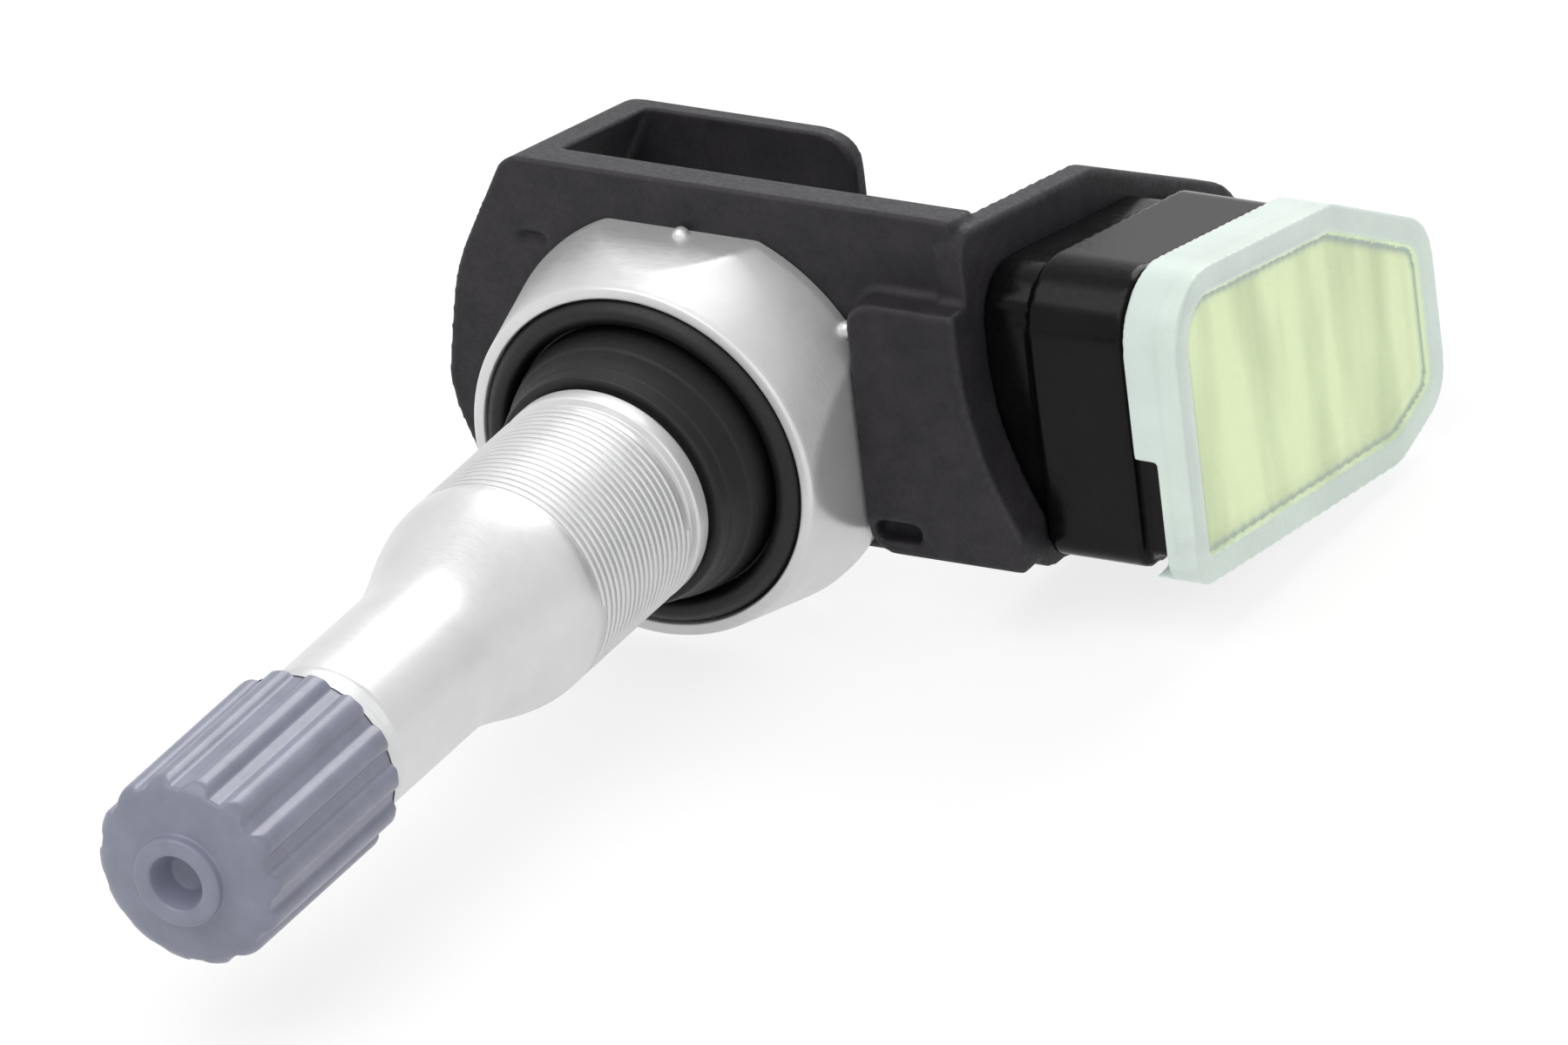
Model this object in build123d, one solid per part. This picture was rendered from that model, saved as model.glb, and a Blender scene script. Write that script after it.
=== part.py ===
"""Clamp-in tyre pressure sensor: tyre valve, rim grommet, bracket and sealed electronics case.

Millimetres. The stem runs along Y with the cap at -Y, X runs along the bracket and +Z is up.
The origin is on the stem axis, at the base of the barrel, where the wheel rim's wall begins.
"""

import os
from math import cos, radians, sin

from build123d import *

# Valve stem, from the barrel out to the tip
barrel_dia = 11.2
barrel_length = 10.9
hub_step = 0.4
shoulder_length = 7.0
neck_dia = 8.1
neck_length = 8.7
thread_dia = 7.7
thread_length = 9.4

# Cup at the stem's base
cup_rim_y = 3.6
cup_depth = 4.0
cup_floor = 2.0
cup_bore_dia = 17.0
cup_rim_wall = 0.6
cup_flange_dia = 20.6
cup_flange_edge = 0.6
cup_flat_width = 18.8
cup_side_width = 18.4
spigot_dia = 8.0

# Bores in the stem
air_bore_dia = 2.6
core_bore_dia = 4.0
core_bore_length = 18.0
core_thread_dia = 5.2
core_thread_depth = 4.8
core_seat_length = 1.4
screw_dia = 4.8
screw_depth = 6.0

# Rim grommet
grommet_ring_wall = 1.3
grommet_ring_rise = 0.4
grommet_groove = 0.2
grommet_groove_depth = 0.7
grommet_nose_wall = 0.4
grommet_nose_gap = 0.3

# Hollow screw behind the stem
screw_head_rim = 2.6
screw_head_height = 2.2
screw_socket_flats = 3.0
screw_socket_depth = 1.4
screw_bore_dia = 1.6

# Dust cap
cap_dia = 9.8
cap_root_dia = 9.0
cap_ribs = 14
cap_rib_radius = 0.75
cap_skirt = 10.4
cap_dome = 1.7
cap_dome_bulge = 1.3
cap_boss_rise = 0.6
cap_boss_dia = 4.6
cap_boss_step = 0.3
cap_dimple_dia = 2.6
cap_overlap = 7.7
cap_thread_clearance = 0.1
cap_seal_thickness = 0.9
cap_seal_bore = 3.4
cap_pocket_dia = 3.0
cap_pocket_depth = 1.3

# Valve core
plug_length = 4.0
plug_setback = 0.4
plug_bridge_width = 1.6
plug_bridge_depth = 1.6
core_cavity_dia = 2.6
core_barrel_dia = 3.5
core_barrel_length = 9.6
core_end_wall = 1.0
core_seat_bore = 1.9
pin_dia = 1.1
pin_proud = 0.2
pin_collar_dia = 2.3
pin_collar_thickness = 0.4
poppet_dia = 3.2
poppet_thickness = 0.7
poppet_seal_thickness = 0.8
spring_length = 6.6
spring_wire = 0.26
spring_dia = 2.0
spring_turns = 4

# Bracket
body_pitch = 11.8
plate_thickness = 2.4
plate_top = 11.9
plate_bottom = -6.2
plate_left_top = -9.6
plate_left_mid = -12.9
plate_left_mid_z = 5.5
plate_left_low = -14.1
plate_left_low_z = -1.0
plate_left_base = -12.2
plate_left_rounds = (1.5, 12.0, 6.0, 3.0)
hook_depth = 11.5
hook_wall = 2.0
hook_arm = 1.2
hook_arm_end = 3.4
hook_bottom = 3.0
hook_corner = 1.8
block_top = 7.8
block_bottom = -5.4
block_proud = 1.8
block_corner = 1.4
dimple_x = -8.4
dimple_z = 7.6
dimple_length = 1.6
dimple_width = 0.8
dimple_depth = 0.4
slot_x = 11.0
slot_z = -4.2
slot_length = 2.4
slot_width = 1.0
slot_depth = 1.2

# Case that holds the electronics: its section lies across X, along the pitched floor
pod_depth = 25.0
pod_height = 16.1
pod_heel_run = 5.0
pod_floor_rise = 1.3
pod_heel = 3.8
pod_back_height = 12.8
pod_back_run = 8.9
pod_base_z = -5.8
pod_radii = (1.5, 2.5, 2.5, 3.0, 3.0, 3.4)
smallest_radius = 0.3
tray_x = 13.9
tray_length = 3.8
tray_floor = 1.4
tray_proud = 0.3
tray_height = 17.0
tray_back_run = 12.3
tray_front_radius = 1.2
scoop_radius = 20.0
scoop_z = 6.0
case_inset = 1.0
case_wall = 1.2
case_mouth_x = 24.5
sleeve_gap = 0.3
sleeve_proud = 0.6
cover_thickness = 1.7
cover_skirt = 1.2
cover_frame = 1.3
cover_recess = 0.3
notch_height = 6.5

# Electronics
board_gap = 2.0
board_thickness = 0.8
post_dia = 1.8
vent_dia = 1.6
chip_size = 5.0
port_seal_thickness = 0.4
port_seal_dia = 4.0
cell_share = 0.4
cell_thickness = 2.5
cell_place = 0.276
tab_thickness = 0.2
tab_length = 8.0
tab_width = 3.0
coil_place = 0.64
coil_h = 7.4
coil_core = 1.6
coil_core_length = 7.4
winding_size = 2.8
winding_length = 5.2
crystal_gap = 0.15
crystal_size = (0.9, 1.9, 3.2)
chip_part_place = 0.552
chip_part_size = (0.6, 0.8, 1.6)
chip_part_count = 4
chip_part_margin = 1.4
antenna_thickness = 0.4
antenna_width = 0.8
antenna_margin = 0.5
potting_cover_gap = 0.9

# Fits
slip = 0.05
pin_clearance = 0.1
board_clearance = 0.1
block_clearance = 0.15

# Values that follow from the sizes above
barrel_r = barrel_dia / 2
hub_r = barrel_r - hub_step
neck_r = neck_dia / 2
thread_r = thread_dia / 2
shoulder_y = -barrel_length
neck_y = shoulder_y - shoulder_length
thread_y = neck_y - neck_length
tip_y = thread_y - thread_length
cup_floor_y = cup_rim_y + cup_depth
plate_y = cup_floor_y + cup_floor
plate_back_y = plate_y + plate_thickness
collar_r = cup_flange_dia / 2
side_x = cup_side_width / 2
cap_rear_y = tip_y + cap_overlap
cap_edge_y = cap_rear_y - cap_skirt
cap_tip_y = cap_edge_y - cap_dome - cap_boss_rise
cap_seal_y = tip_y - slip
cap_floor_y = cap_seal_y - cap_seal_thickness - slip
plug_y = tip_y + plug_setback
core_barrel_y = plug_y + plug_length
core_end_y = core_barrel_y + core_barrel_length
spring_seat_y = core_end_y - core_end_wall
pin_collar_y = spring_seat_y - spring_length
poppet_y = core_end_y + slip
core_seat_y = tip_y + core_thread_depth
core_thread_r = core_thread_dia / 2
along_floor = Vector(0, cos(radians(body_pitch)), -sin(radians(body_pitch)))
case_x = tray_x + tray_floor
tray_end_x = tray_x + tray_length
pod_floor = pod_depth - pod_heel_run
pod_top = pod_depth - pod_back_run
tray_top = pod_depth - tray_back_run
cell_dia = cell_share * pod_depth
cell_d = cell_place * pod_depth
coil_d = coil_place * pod_depth
crystal_d = coil_d + (winding_size + crystal_size[1]) / 2 + crystal_gap
chip_part_d = chip_part_place * pod_depth
case_floor_x = case_x + case_wall
board_x = case_floor_x + board_gap
parts_x = board_x + board_thickness
potting_x = case_mouth_x - potting_cover_gap
pod_front_y = plate_y
arc_steps = 3


def turned(*outline):
    """A solid of revolution about the stem axis, from (radius, y) points."""
    return revolve(make_face(Polyline(*outline, close=True)), Axis.Y)


def ring(inner_dia, outer_dia, y_from, y_to):
    """A plain ring round the stem axis."""
    return turned(
        (inner_dia / 2, y_from), (outer_dia / 2, y_from), (outer_dia / 2, y_to), (inner_dia / 2, y_to)
    )


def arc_points(start, through, end):
    """Points along an arc, for a turned outline."""
    arc = ThreePointArc(start, through, end)
    points = [arc @ (i / arc_steps) for i in range(arc_steps + 1)]
    return [(point.X, point.Y) for point in points]


def rod(dia, y_from, y_to):
    """A plain round bar on the stem axis."""
    return turned((0, y_from), (dia / 2, y_from), (dia / 2, y_to), (0, y_to))


def pitched(face, y_from, y_to):
    """A face in the XZ plane drawn out between two Y planes, along the pitched floor."""
    start = Pos(along_floor * ((y_from - plate_y) / along_floor.Y)) * Pos(0, plate_y, 0)
    return extrude(start * face, amount=(y_to - y_from) / along_floor.Y, dir=along_floor)


def pod_point(d, h):
    """(y, z) of a point d along the case's floor and h above it."""
    pitch = radians(body_pitch)
    return (pod_front_y + d * cos(pitch), pod_base_z + h - d * sin(pitch))


def pod_place(x, d, h):
    """Where a piece stands at x, d along the case's floor and h square above it."""
    return Location((x, pod_front_y, pod_base_z), (-body_pitch, 0, 0)) * Pos(0, d, h)


def grown(points, amount):
    """A convex outline, counter-clockwise, with every side moved outward by the amount."""
    sides = []
    for a, b in zip(points, points[1:] + points[:1]):
        along = (Vector(*b) - Vector(*a)).normalized()
        sides.append((Vector(*a) + Vector(along.Y, -along.X) * amount, along))
    corners = []
    for (p, u), (q, v) in zip(sides[-1:] + sides[:-1], sides):
        reach = ((q - p).X * v.Y - (q - p).Y * v.X) / (u.X * v.Y - u.Y * v.X)
        corners.append(p + u * reach)
    return corners


def pod_outline(height, top):
    """Corners of the case's section, for a height above its floor and a depth of its top."""
    return [
        pod_point(0, 0),
        pod_point(pod_floor, pod_floor_rise),
        pod_point(pod_depth, pod_heel),
        pod_point(pod_depth, pod_back_height),
        pod_point(top, height),
        pod_point(0, height),
    ]


pod_corners = pod_outline(pod_height, pod_top)
pod_middle = (pod_height / 2) * cos(radians(body_pitch))


def across(corners, rounds, x_from, x_to):
    """A rounded outline in the YZ plane drawn out along X."""
    face = Plane.YZ * make_face(FilletPolyline(*corners, radius=rounds, close=True))
    return Pos(x_from, 0, 0) * extrude(face, amount=x_to - x_from, dir=(1, 0, 0))


def pod_slab(growth, x_from, x_to):
    """The case's section, grown by an amount and rounded about the same centres, drawn out along X."""
    rounds = [max(r + growth, smallest_radius) for r in pod_radii]
    return across(grown(pod_corners, growth), rounds, x_from, x_to)


def board_box(x_from, d, h, size):
    """A box of (x, d, h) size on a plane across X, centred at d and h in the case."""
    return pod_place(x_from + size[0] / 2, d, h) * Box(*size)


def make_valve_stem():
    ogee_y = (shoulder_y + neck_y) / 2
    ogee_r = (barrel_r + neck_r) / 2
    rise = (barrel_r - neck_r) / 2
    run = shoulder_length / 2
    bend = (run**2 + rise**2) / (2 * rise)
    sag = bend - (bend**2 - (run / 2) ** 2) ** 0.5
    stem = turned(
        (0, tip_y),
        (thread_r, tip_y),
        (thread_r, thread_y),
        (neck_r, thread_y),
        *arc_points((neck_r, neck_y), (neck_r + sag, neck_y + run / 2), (ogee_r, ogee_y)),
        *arc_points((ogee_r, ogee_y), (barrel_r - sag, shoulder_y - run / 2), (barrel_r, shoulder_y))[1:],
        (barrel_r, 0),
        (hub_r, 0),
        (hub_r, cup_floor_y),
        (cup_bore_dia / 2, cup_floor_y),
        (cup_bore_dia / 2, cup_rim_y),
        (cup_bore_dia / 2 + cup_rim_wall, cup_rim_y),
        (collar_r, plate_y - cup_flange_edge),
        (collar_r, plate_y),
        (spigot_dia / 2, plate_y),
        (spigot_dia / 2, plate_back_y - slip),
        (0, plate_back_y - slip),
    )
    shaved = Box(cup_side_width, plate_y - cup_rim_y, cup_flat_width)
    shaving = Box(2 * cup_flange_dia, plate_y - cup_rim_y, 2 * cup_flange_dia) - shaved
    stem -= Pos(0, (plate_y + cup_rim_y) / 2, 0) * shaving
    core_r = core_bore_dia / 2
    chamber_r = core_thread_r + slip
    stem -= turned(
        (0, tip_y),
        (chamber_r, tip_y),
        (chamber_r, core_seat_y),
        (core_r, core_seat_y + core_seat_length),
        (core_r, tip_y + core_bore_length),
        (air_bore_dia / 2, tip_y + core_bore_length),
        (air_bore_dia / 2, plate_back_y - screw_depth),
        (screw_dia / 2 + slip, plate_back_y - screw_depth),
        (screw_dia / 2 + slip, plate_back_y),
        (0, plate_back_y),
    )
    return stem


def make_stem_screw():
    head_y = plate_back_y + screw_head_height
    screw = rod(screw_dia, plate_back_y - screw_depth + slip, plate_back_y)
    screw += rod(spigot_dia + 2 * screw_head_rim, plate_back_y, head_y)
    screw -= rod(screw_bore_dia, plate_back_y - screw_depth, head_y)
    hexagon = RegularPolygon(screw_socket_flats / 2, 6, major_radius=False)
    socket = extrude(hexagon, amount=screw_socket_depth)
    return screw - Pos(0, head_y, 0) * Rot(90, 0, 0) * socket


def make_rim_grommet():
    outer_r = cup_bore_dia / 2 - slip
    bore_r = hub_r + slip
    ring_r = outer_r - grommet_ring_wall
    cone_r = ring_r - grommet_groove
    nose_r = barrel_r + grommet_nose_wall
    groove_y = cup_rim_y + grommet_groove_depth
    crest = ((outer_r + ring_r) / 2, cup_rim_y - grommet_ring_rise)
    return turned(
        (bore_r, grommet_nose_gap),
        (bore_r, cup_floor_y),
        (outer_r, cup_floor_y),
        *arc_points((outer_r, cup_rim_y), crest, (ring_r, cup_rim_y)),
        (ring_r, groove_y),
        (cone_r, groove_y),
        (cone_r, cup_rim_y),
        (nose_r, grommet_nose_gap),
    )


def make_valve_cap():
    cap_r = cap_dia / 2
    boss_y = cap_tip_y + cap_boss_rise
    boss_r = cap_boss_dia / 2
    dimple_r = cap_dimple_dia / 2
    dome_r = boss_r + cap_boss_step
    middle_r = (cap_r + dome_r + cap_dome_bulge) / 2
    middle_y = cap_edge_y - cap_dome * cap_dome_bulge / 2
    envelope = turned(
        (0, cap_rear_y),
        (cap_r, cap_rear_y),
        *arc_points((cap_r, cap_edge_y), (middle_r, middle_y), (dome_r, boss_y)),
        (boss_r, boss_y),
        (boss_r, cap_tip_y),
        (dimple_r, cap_tip_y),
        (0, boss_y),
    )
    section = Circle(cap_root_dia / 2)
    for spot in PolarLocations(cap_r - cap_rib_radius, cap_ribs):
        section += spot * Circle(cap_rib_radius)
    fluted = Pos(0, cap_rear_y, 0) * extrude(Plane.XZ * section, amount=cap_rear_y - cap_tip_y)
    cap = fluted & envelope
    cap -= rod(thread_dia + 2 * cap_thread_clearance, cap_floor_y, cap_rear_y)
    return cap - rod(cap_pocket_dia, cap_floor_y - cap_pocket_depth, cap_floor_y)


def make_cap_seal():
    return ring(cap_seal_bore, thread_dia, cap_seal_y - cap_seal_thickness, cap_seal_y)


def make_core_plug():
    plug = rod(core_thread_dia, plug_y, core_barrel_y)
    plug -= rod(core_cavity_dia, plug_y + plug_bridge_depth, core_barrel_y)
    plug -= rod(pin_dia + 2 * pin_clearance, plug_y, core_barrel_y)
    window = core_thread_r - plug_bridge_width / 2
    for side in (1, -1):
        middle = side * (plug_bridge_width + window) / 2
        plug -= Pos(middle, plug_y + plug_bridge_depth / 2, 0) * Box(window, plug_bridge_depth, core_thread_dia)
    return plug


def make_core_barrel():
    barrel = rod(core_barrel_dia, core_barrel_y, core_end_y)
    barrel -= rod(core_cavity_dia, core_barrel_y, spring_seat_y)
    return barrel - rod(core_seat_bore, spring_seat_y, core_end_y)


def make_core_gasket():
    inner_r = core_barrel_dia / 2
    start_y = core_barrel_y + slip
    end_y = core_seat_y + core_seat_length
    slope = (core_thread_r + slip - core_bore_dia / 2) / core_seat_length
    wide_r = core_bore_dia / 2 + slope * (end_y - max(start_y, core_seat_y)) - slip
    return turned((inner_r, start_y), (wide_r, start_y), (core_bore_dia / 2 - slip, end_y), (inner_r, end_y))


def make_core_pin():
    cup_y = poppet_y + poppet_seal_thickness
    pin = rod(pin_dia, tip_y - pin_proud, cup_y)
    pin += rod(pin_collar_dia, pin_collar_y - pin_collar_thickness, pin_collar_y)
    return pin + rod(poppet_dia, cup_y, cup_y + poppet_thickness)


def make_poppet_seal():
    return ring(pin_dia, poppet_dia - 2 * pin_clearance, poppet_y, poppet_y + poppet_seal_thickness)


def make_core_spring():
    height = spring_length - spring_wire - 2 * slip
    start_y = pin_collar_y + slip + spring_wire / 2
    coil = Helix(height / spring_turns, height, spring_dia / 2, center=(0, start_y, 0), direction=(0, 1, 0))
    wire = Plane(coil @ 0, z_dir=coil % 0) * Rectangle(spring_wire, spring_wire)
    return sweep(wire, path=coil, is_frenet=True)


def bracket_face(right, corner):
    """The bracket's front outline, with its rounded left end, up to a right edge."""
    corners = [
        (right, plate_top),
        (plate_left_top, plate_top),
        (plate_left_mid, plate_left_mid_z),
        (plate_left_low, plate_left_low_z),
        (plate_left_base, plate_bottom),
        (right, plate_bottom),
    ]
    rounds = [corner, *plate_left_rounds, corner]
    return Plane.XZ * make_face(FilletPolyline(*corners, radius=rounds, close=True))


def make_hook():
    """The open hook on the left: side wall and a back arm with a free end."""
    height = plate_top - hook_bottom
    middle_x = (hook_arm_end + plate_left_low) / 2
    middle_z = (plate_top + hook_bottom) / 2
    hold = RectangleRounded(hook_arm_end - 2 * plate_left_low, height, hook_corner)
    reach = Pos(middle_x + plate_left_low / 2, 0, middle_z) * (Plane.XZ * hold)
    back_y = plate_y + hook_depth
    whole = pitched(bracket_face(hook_arm_end + hook_corner, 0), plate_back_y, back_y)
    whole &= pitched(reach, plate_back_y, back_y)
    bay = Pos(hook_wall, 0, 0) * bracket_face(hook_arm_end + hook_depth, 0)
    inner = pitched(bay, plate_back_y, back_y - hook_arm)
    lean = (plate_left_top - plate_left_mid) / (plate_top - plate_left_mid_z)
    rise = plate_left_rounds[0]
    return whole - inner - Pos(rise * lean, 0, rise) * inner


def make_block():
    """The raised block beside the cup, which keeps the cup's flat from turning."""
    left = side_x + block_clearance
    size = (tray_end_x - left, block_top - block_bottom)
    face = Rectangle(*size)
    face = fillet(face.vertices().group_by(Axis.X)[0], block_corner)
    place = Pos((tray_end_x + left) / 2, plate_y, (block_top + block_bottom) / 2)
    return extrude(place * (Plane.XZ * face), amount=block_proud, dir=(0, -1, 0))


def make_scoop():
    """The room to the right of the tray's curved edge, where the case stands clear of the bracket."""
    centre_x = case_x + scoop_radius
    above = Pos(centre_x, scoop_z + scoop_radius) * Rectangle(2 * scoop_radius, 2 * scoop_radius)
    face = Pos(centre_x, scoop_z) * Circle(scoop_radius) + above
    start = Pos(0, plate_y - 2 * block_proud, 0) * (Plane.XZ * face)
    return extrude(start, amount=pod_depth + 4 * block_proud, dir=(0, 1, 0))


def make_bracket():
    right = tray_x + tray_floor / 2
    bracket = pitched(bracket_face(right, 0), plate_y, plate_back_y)
    bracket += make_hook()
    bracket += make_block()
    rounds = [r + tray_proud for r in pod_radii[:-1]] + [tray_front_radius]
    tray = across(grown(pod_outline(tray_height, tray_top), tray_proud), rounds, tray_x, tray_end_x)
    bracket += tray
    bracket -= pod_slab(slip - case_inset, case_x, tray_end_x)
    bracket -= make_scoop()
    bracket -= rod(spigot_dia + 2 * slip, plate_y, plate_back_y)
    dimple = Plane.XZ * SlotOverall(dimple_length, dimple_width)
    bracket -= extrude(Pos(dimple_x, plate_y, dimple_z) * dimple, amount=dimple_depth, dir=(0, 1, 0))
    slot = Plane.XZ * Rectangle(slot_length, slot_width)
    bracket -= extrude(Pos(slot_x, plate_y - block_proud, slot_z) * slot, amount=slot_depth, dir=(0, 1, 0))
    return bracket - vent(tray_x, case_x)


def vent(x_from, x_to):
    """The pressure port's hole along X."""
    hole = Rot(0, 90, 0) * Cylinder(vent_dia / 2, x_to - x_from)
    return pod_place((x_from + x_to) / 2, cell_d, pod_middle) * hole


def make_electronics_case():
    case = pod_slab(-case_inset, case_x, case_mouth_x)
    sleeve_end = case_mouth_x - cover_skirt - sleeve_gap
    case += pod_slab(sleeve_proud - case_inset, tray_end_x + sleeve_gap, sleeve_end)
    case -= pod_slab(-case_inset - case_wall, case_floor_x, case_mouth_x)
    post = Rot(0, 90, 0) * Cylinder(post_dia / 2, board_gap)
    for corner in grown(pod_corners, -case_inset - case_wall - post_dia / 4)[::2]:
        case += Pos(case_floor_x + board_gap / 2, corner.X, corner.Y) * post
    return case - vent(case_x, case_floor_x)


def make_end_cover():
    outer_x = case_mouth_x + cover_thickness
    cover = pod_slab(0, case_mouth_x - cover_skirt, outer_x)
    cover -= pod_slab(slip - case_inset, case_mouth_x - cover_skirt, case_mouth_x)
    cover -= pod_slab(-cover_frame, outer_x - cover_recess, outer_x)
    notch = Box(cover_skirt, 2 * pod_radii[0] + case_inset, notch_height)
    notch_z = pod_base_z + notch_height / 2
    return cover - Pos(case_mouth_x - cover_skirt / 2, pod_front_y, notch_z) * notch


def make_circuit_board():
    return pod_slab(-case_inset - case_wall - board_clearance, board_x, parts_x)


def make_pressure_chip():
    height = board_gap - port_seal_thickness
    chip = board_box(board_x - height, cell_d, pod_middle, (height, chip_size, chip_size))
    return chip - vent(board_x - height, board_x - height / 2)


def make_port_seal():
    flat = Circle(port_seal_dia / 2) - Circle(vent_dia / 2)
    return pod_place(case_floor_x, cell_d, pod_middle) * extrude(Plane.YZ * flat, amount=port_seal_thickness)


def make_battery_cell():
    return pod_place(parts_x + tab_thickness + cell_thickness / 2, cell_d, pod_middle) * (
        Rot(0, 90, 0) * Cylinder(cell_dia / 2, cell_thickness)
    )


def make_battery_tab_minus():
    return board_box(parts_x, cell_d, pod_middle, (tab_thickness, tab_length, tab_width))


def make_battery_tab_plus():
    top_x = parts_x + tab_thickness + cell_thickness
    reach = cell_dia / 2 + 2 * tab_thickness
    strap = board_box(top_x, cell_d + reach / 2, pod_middle, (tab_thickness, reach, tab_width))
    leg_d = cell_d + reach - tab_thickness / 2
    leg = board_box(parts_x, leg_d, pod_middle, (top_x - parts_x + tab_thickness, tab_thickness, tab_width))
    return strap + leg


def make_coil_core():
    inset = (winding_size - coil_core) / 2
    return board_box(parts_x + inset, coil_d, coil_h, (coil_core, coil_core, coil_core_length))


def make_coil_winding():
    winding = board_box(parts_x, coil_d, coil_h, (winding_size, winding_size, winding_length))
    return winding - make_coil_core()


def make_crystal_can():
    return board_box(parts_x, crystal_d, coil_h, crystal_size)


def make_chip_parts():
    edge = case_inset + case_wall + chip_part_margin + chip_part_size[2] / 2
    lowest = edge
    pitch = 2 * (pod_middle - edge) / (chip_part_count - 1)
    heights = [lowest + i * pitch for i in range(chip_part_count)]
    return [board_box(parts_x, chip_part_d, h, chip_part_size) for h in heights]


def make_antenna_loop():
    outer = case_inset + case_wall + antenna_margin
    top_x = parts_x + tab_thickness + cell_thickness + 2 * tab_thickness
    loop = pod_slab(-outer, top_x, top_x + antenna_thickness)
    loop -= pod_slab(-outer - antenna_width, top_x, top_x + antenna_thickness)
    wall_y, wall_low = pod_point(pod_depth, pod_heel)
    wall_middle = wall_low + (pod_back_height - pod_heel) / 2
    leg = Box(top_x - parts_x, antenna_width / 2, antenna_width)
    for side in (1, -1):
        leg_z = wall_middle + side * tab_width / 2
        loop += Pos((top_x + parts_x) / 2, wall_y - outer - antenna_width / 2, leg_z) * leg
    return loop


def make_potting(buried):
    potting = pod_slab(-case_inset - case_wall - slip, parts_x, potting_x)
    for piece in buried:
        potting -= piece
    return potting


chip_parts = make_chip_parts()
nodes = {
    "valve_stem": make_valve_stem(),
    "stem_screw": make_stem_screw(),
    "rim_grommet": make_rim_grommet(),
    "valve_cap": make_valve_cap(),
    "cap_seal": make_cap_seal(),
    "core_plug": make_core_plug(),
    "core_barrel": make_core_barrel(),
    "core_gasket": make_core_gasket(),
    "core_pin": make_core_pin(),
    "poppet_seal": make_poppet_seal(),
    "core_spring": make_core_spring(),
    "bracket": make_bracket(),
    "electronics_case": make_electronics_case(),
    "end_cover": make_end_cover(),
    "circuit_board": make_circuit_board(),
    "pressure_chip": make_pressure_chip(),
    "port_seal": make_port_seal(),
    "battery_cell": make_battery_cell(),
    "battery_tab_plus": make_battery_tab_plus(),
    "battery_tab_minus": make_battery_tab_minus(),
    "coil_core": make_coil_core(),
    "coil_winding": make_coil_winding(),
    "crystal_can": make_crystal_can(),
    "chip_parts": Compound(children=chip_parts),
    "antenna_loop": make_antenna_loop(),
}
buried_names = (
    "battery_cell",
    "battery_tab_plus",
    "battery_tab_minus",
    "coil_core",
    "coil_winding",
    "crystal_can",
    "antenna_loop",
)
nodes["potting"] = make_potting([nodes[name] for name in buried_names] + chip_parts)

os.makedirs("parts", exist_ok=True)
for name, node in nodes.items():
    export_step(node, f"parts/{name}.step")
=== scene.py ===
from math import cos, pi, radians, sin

import bmesh
import bpy
import numpy as np
from bpy.props import FloatProperty, FloatVectorProperty, IntProperty, PointerProperty
from mathutils import Matrix, Vector
from mathutils.kdtree import KDTree


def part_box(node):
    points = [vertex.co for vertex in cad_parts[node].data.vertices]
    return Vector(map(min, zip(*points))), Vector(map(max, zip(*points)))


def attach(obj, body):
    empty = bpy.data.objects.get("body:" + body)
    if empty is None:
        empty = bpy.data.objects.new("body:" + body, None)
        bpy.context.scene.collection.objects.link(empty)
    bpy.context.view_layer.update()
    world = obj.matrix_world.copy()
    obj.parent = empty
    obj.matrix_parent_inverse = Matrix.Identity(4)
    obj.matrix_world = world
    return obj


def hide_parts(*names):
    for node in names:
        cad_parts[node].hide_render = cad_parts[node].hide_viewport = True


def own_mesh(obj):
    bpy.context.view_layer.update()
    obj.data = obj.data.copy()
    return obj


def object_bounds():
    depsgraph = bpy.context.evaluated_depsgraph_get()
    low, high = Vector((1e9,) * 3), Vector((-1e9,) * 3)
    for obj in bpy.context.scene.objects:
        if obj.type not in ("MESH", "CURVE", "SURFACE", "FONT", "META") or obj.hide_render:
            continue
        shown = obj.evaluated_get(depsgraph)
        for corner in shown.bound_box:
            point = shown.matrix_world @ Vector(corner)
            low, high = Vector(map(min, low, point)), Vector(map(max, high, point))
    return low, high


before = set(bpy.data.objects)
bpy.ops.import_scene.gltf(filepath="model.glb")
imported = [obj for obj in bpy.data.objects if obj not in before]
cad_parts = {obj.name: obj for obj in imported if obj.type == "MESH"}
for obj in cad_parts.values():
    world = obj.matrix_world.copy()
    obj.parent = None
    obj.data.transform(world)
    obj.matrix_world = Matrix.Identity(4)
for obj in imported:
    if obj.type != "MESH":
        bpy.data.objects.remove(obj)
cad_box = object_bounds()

bl_info = {
    "name": "Tyre pressure sensor",
    "version": (1, 0, 0),
    "blender": (4, 5, 0),
    "location": "3D View > Sidebar > Sensor",
    "description": "Dresses a clamp-in tyre pressure sensor with turned, moulded and threaded pieces",
    "category": "Object",
}

MM = 0.001
ROUND_STEPS = 5
TURNED_SIDES = 160
SHARP = 34

# Turned outlines, as (distance from the stem axis, place along the stem, rounding) in millimetres.
# The shoulder and the cone are (first radius, first place, last radius, last place).
STEM_OUTSIDE = (
    (3.30, -36.00, 0.10),
    (3.42, -35.60, 0.00),
    (3.42, -27.10, 0.10),
    (3.95, -26.60, 0.10),
    (4.05, -26.40, 0.10),
)
STEM_SHOULDER = (4.05, -17.90, 5.60, -10.90)
STEM_BASE = (
    (5.60, -10.40, 0.00),
    (5.51, -10.20, 0.00),
    (5.51, -1.75, 0.00),
    (5.18, -1.60, 0.08),
    (5.18, -1.05, 0.08),
    (5.60, -0.95, 0.12),
    (5.60, 0.00, 0.12),
    (5.20, 0.00, 0.05),
    (5.20, 7.60, 0.00),
    (8.50, 7.60, 0.00),
    (8.50, 3.60, 0.15),
    (9.10, 3.60, 0.18),
)
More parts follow.
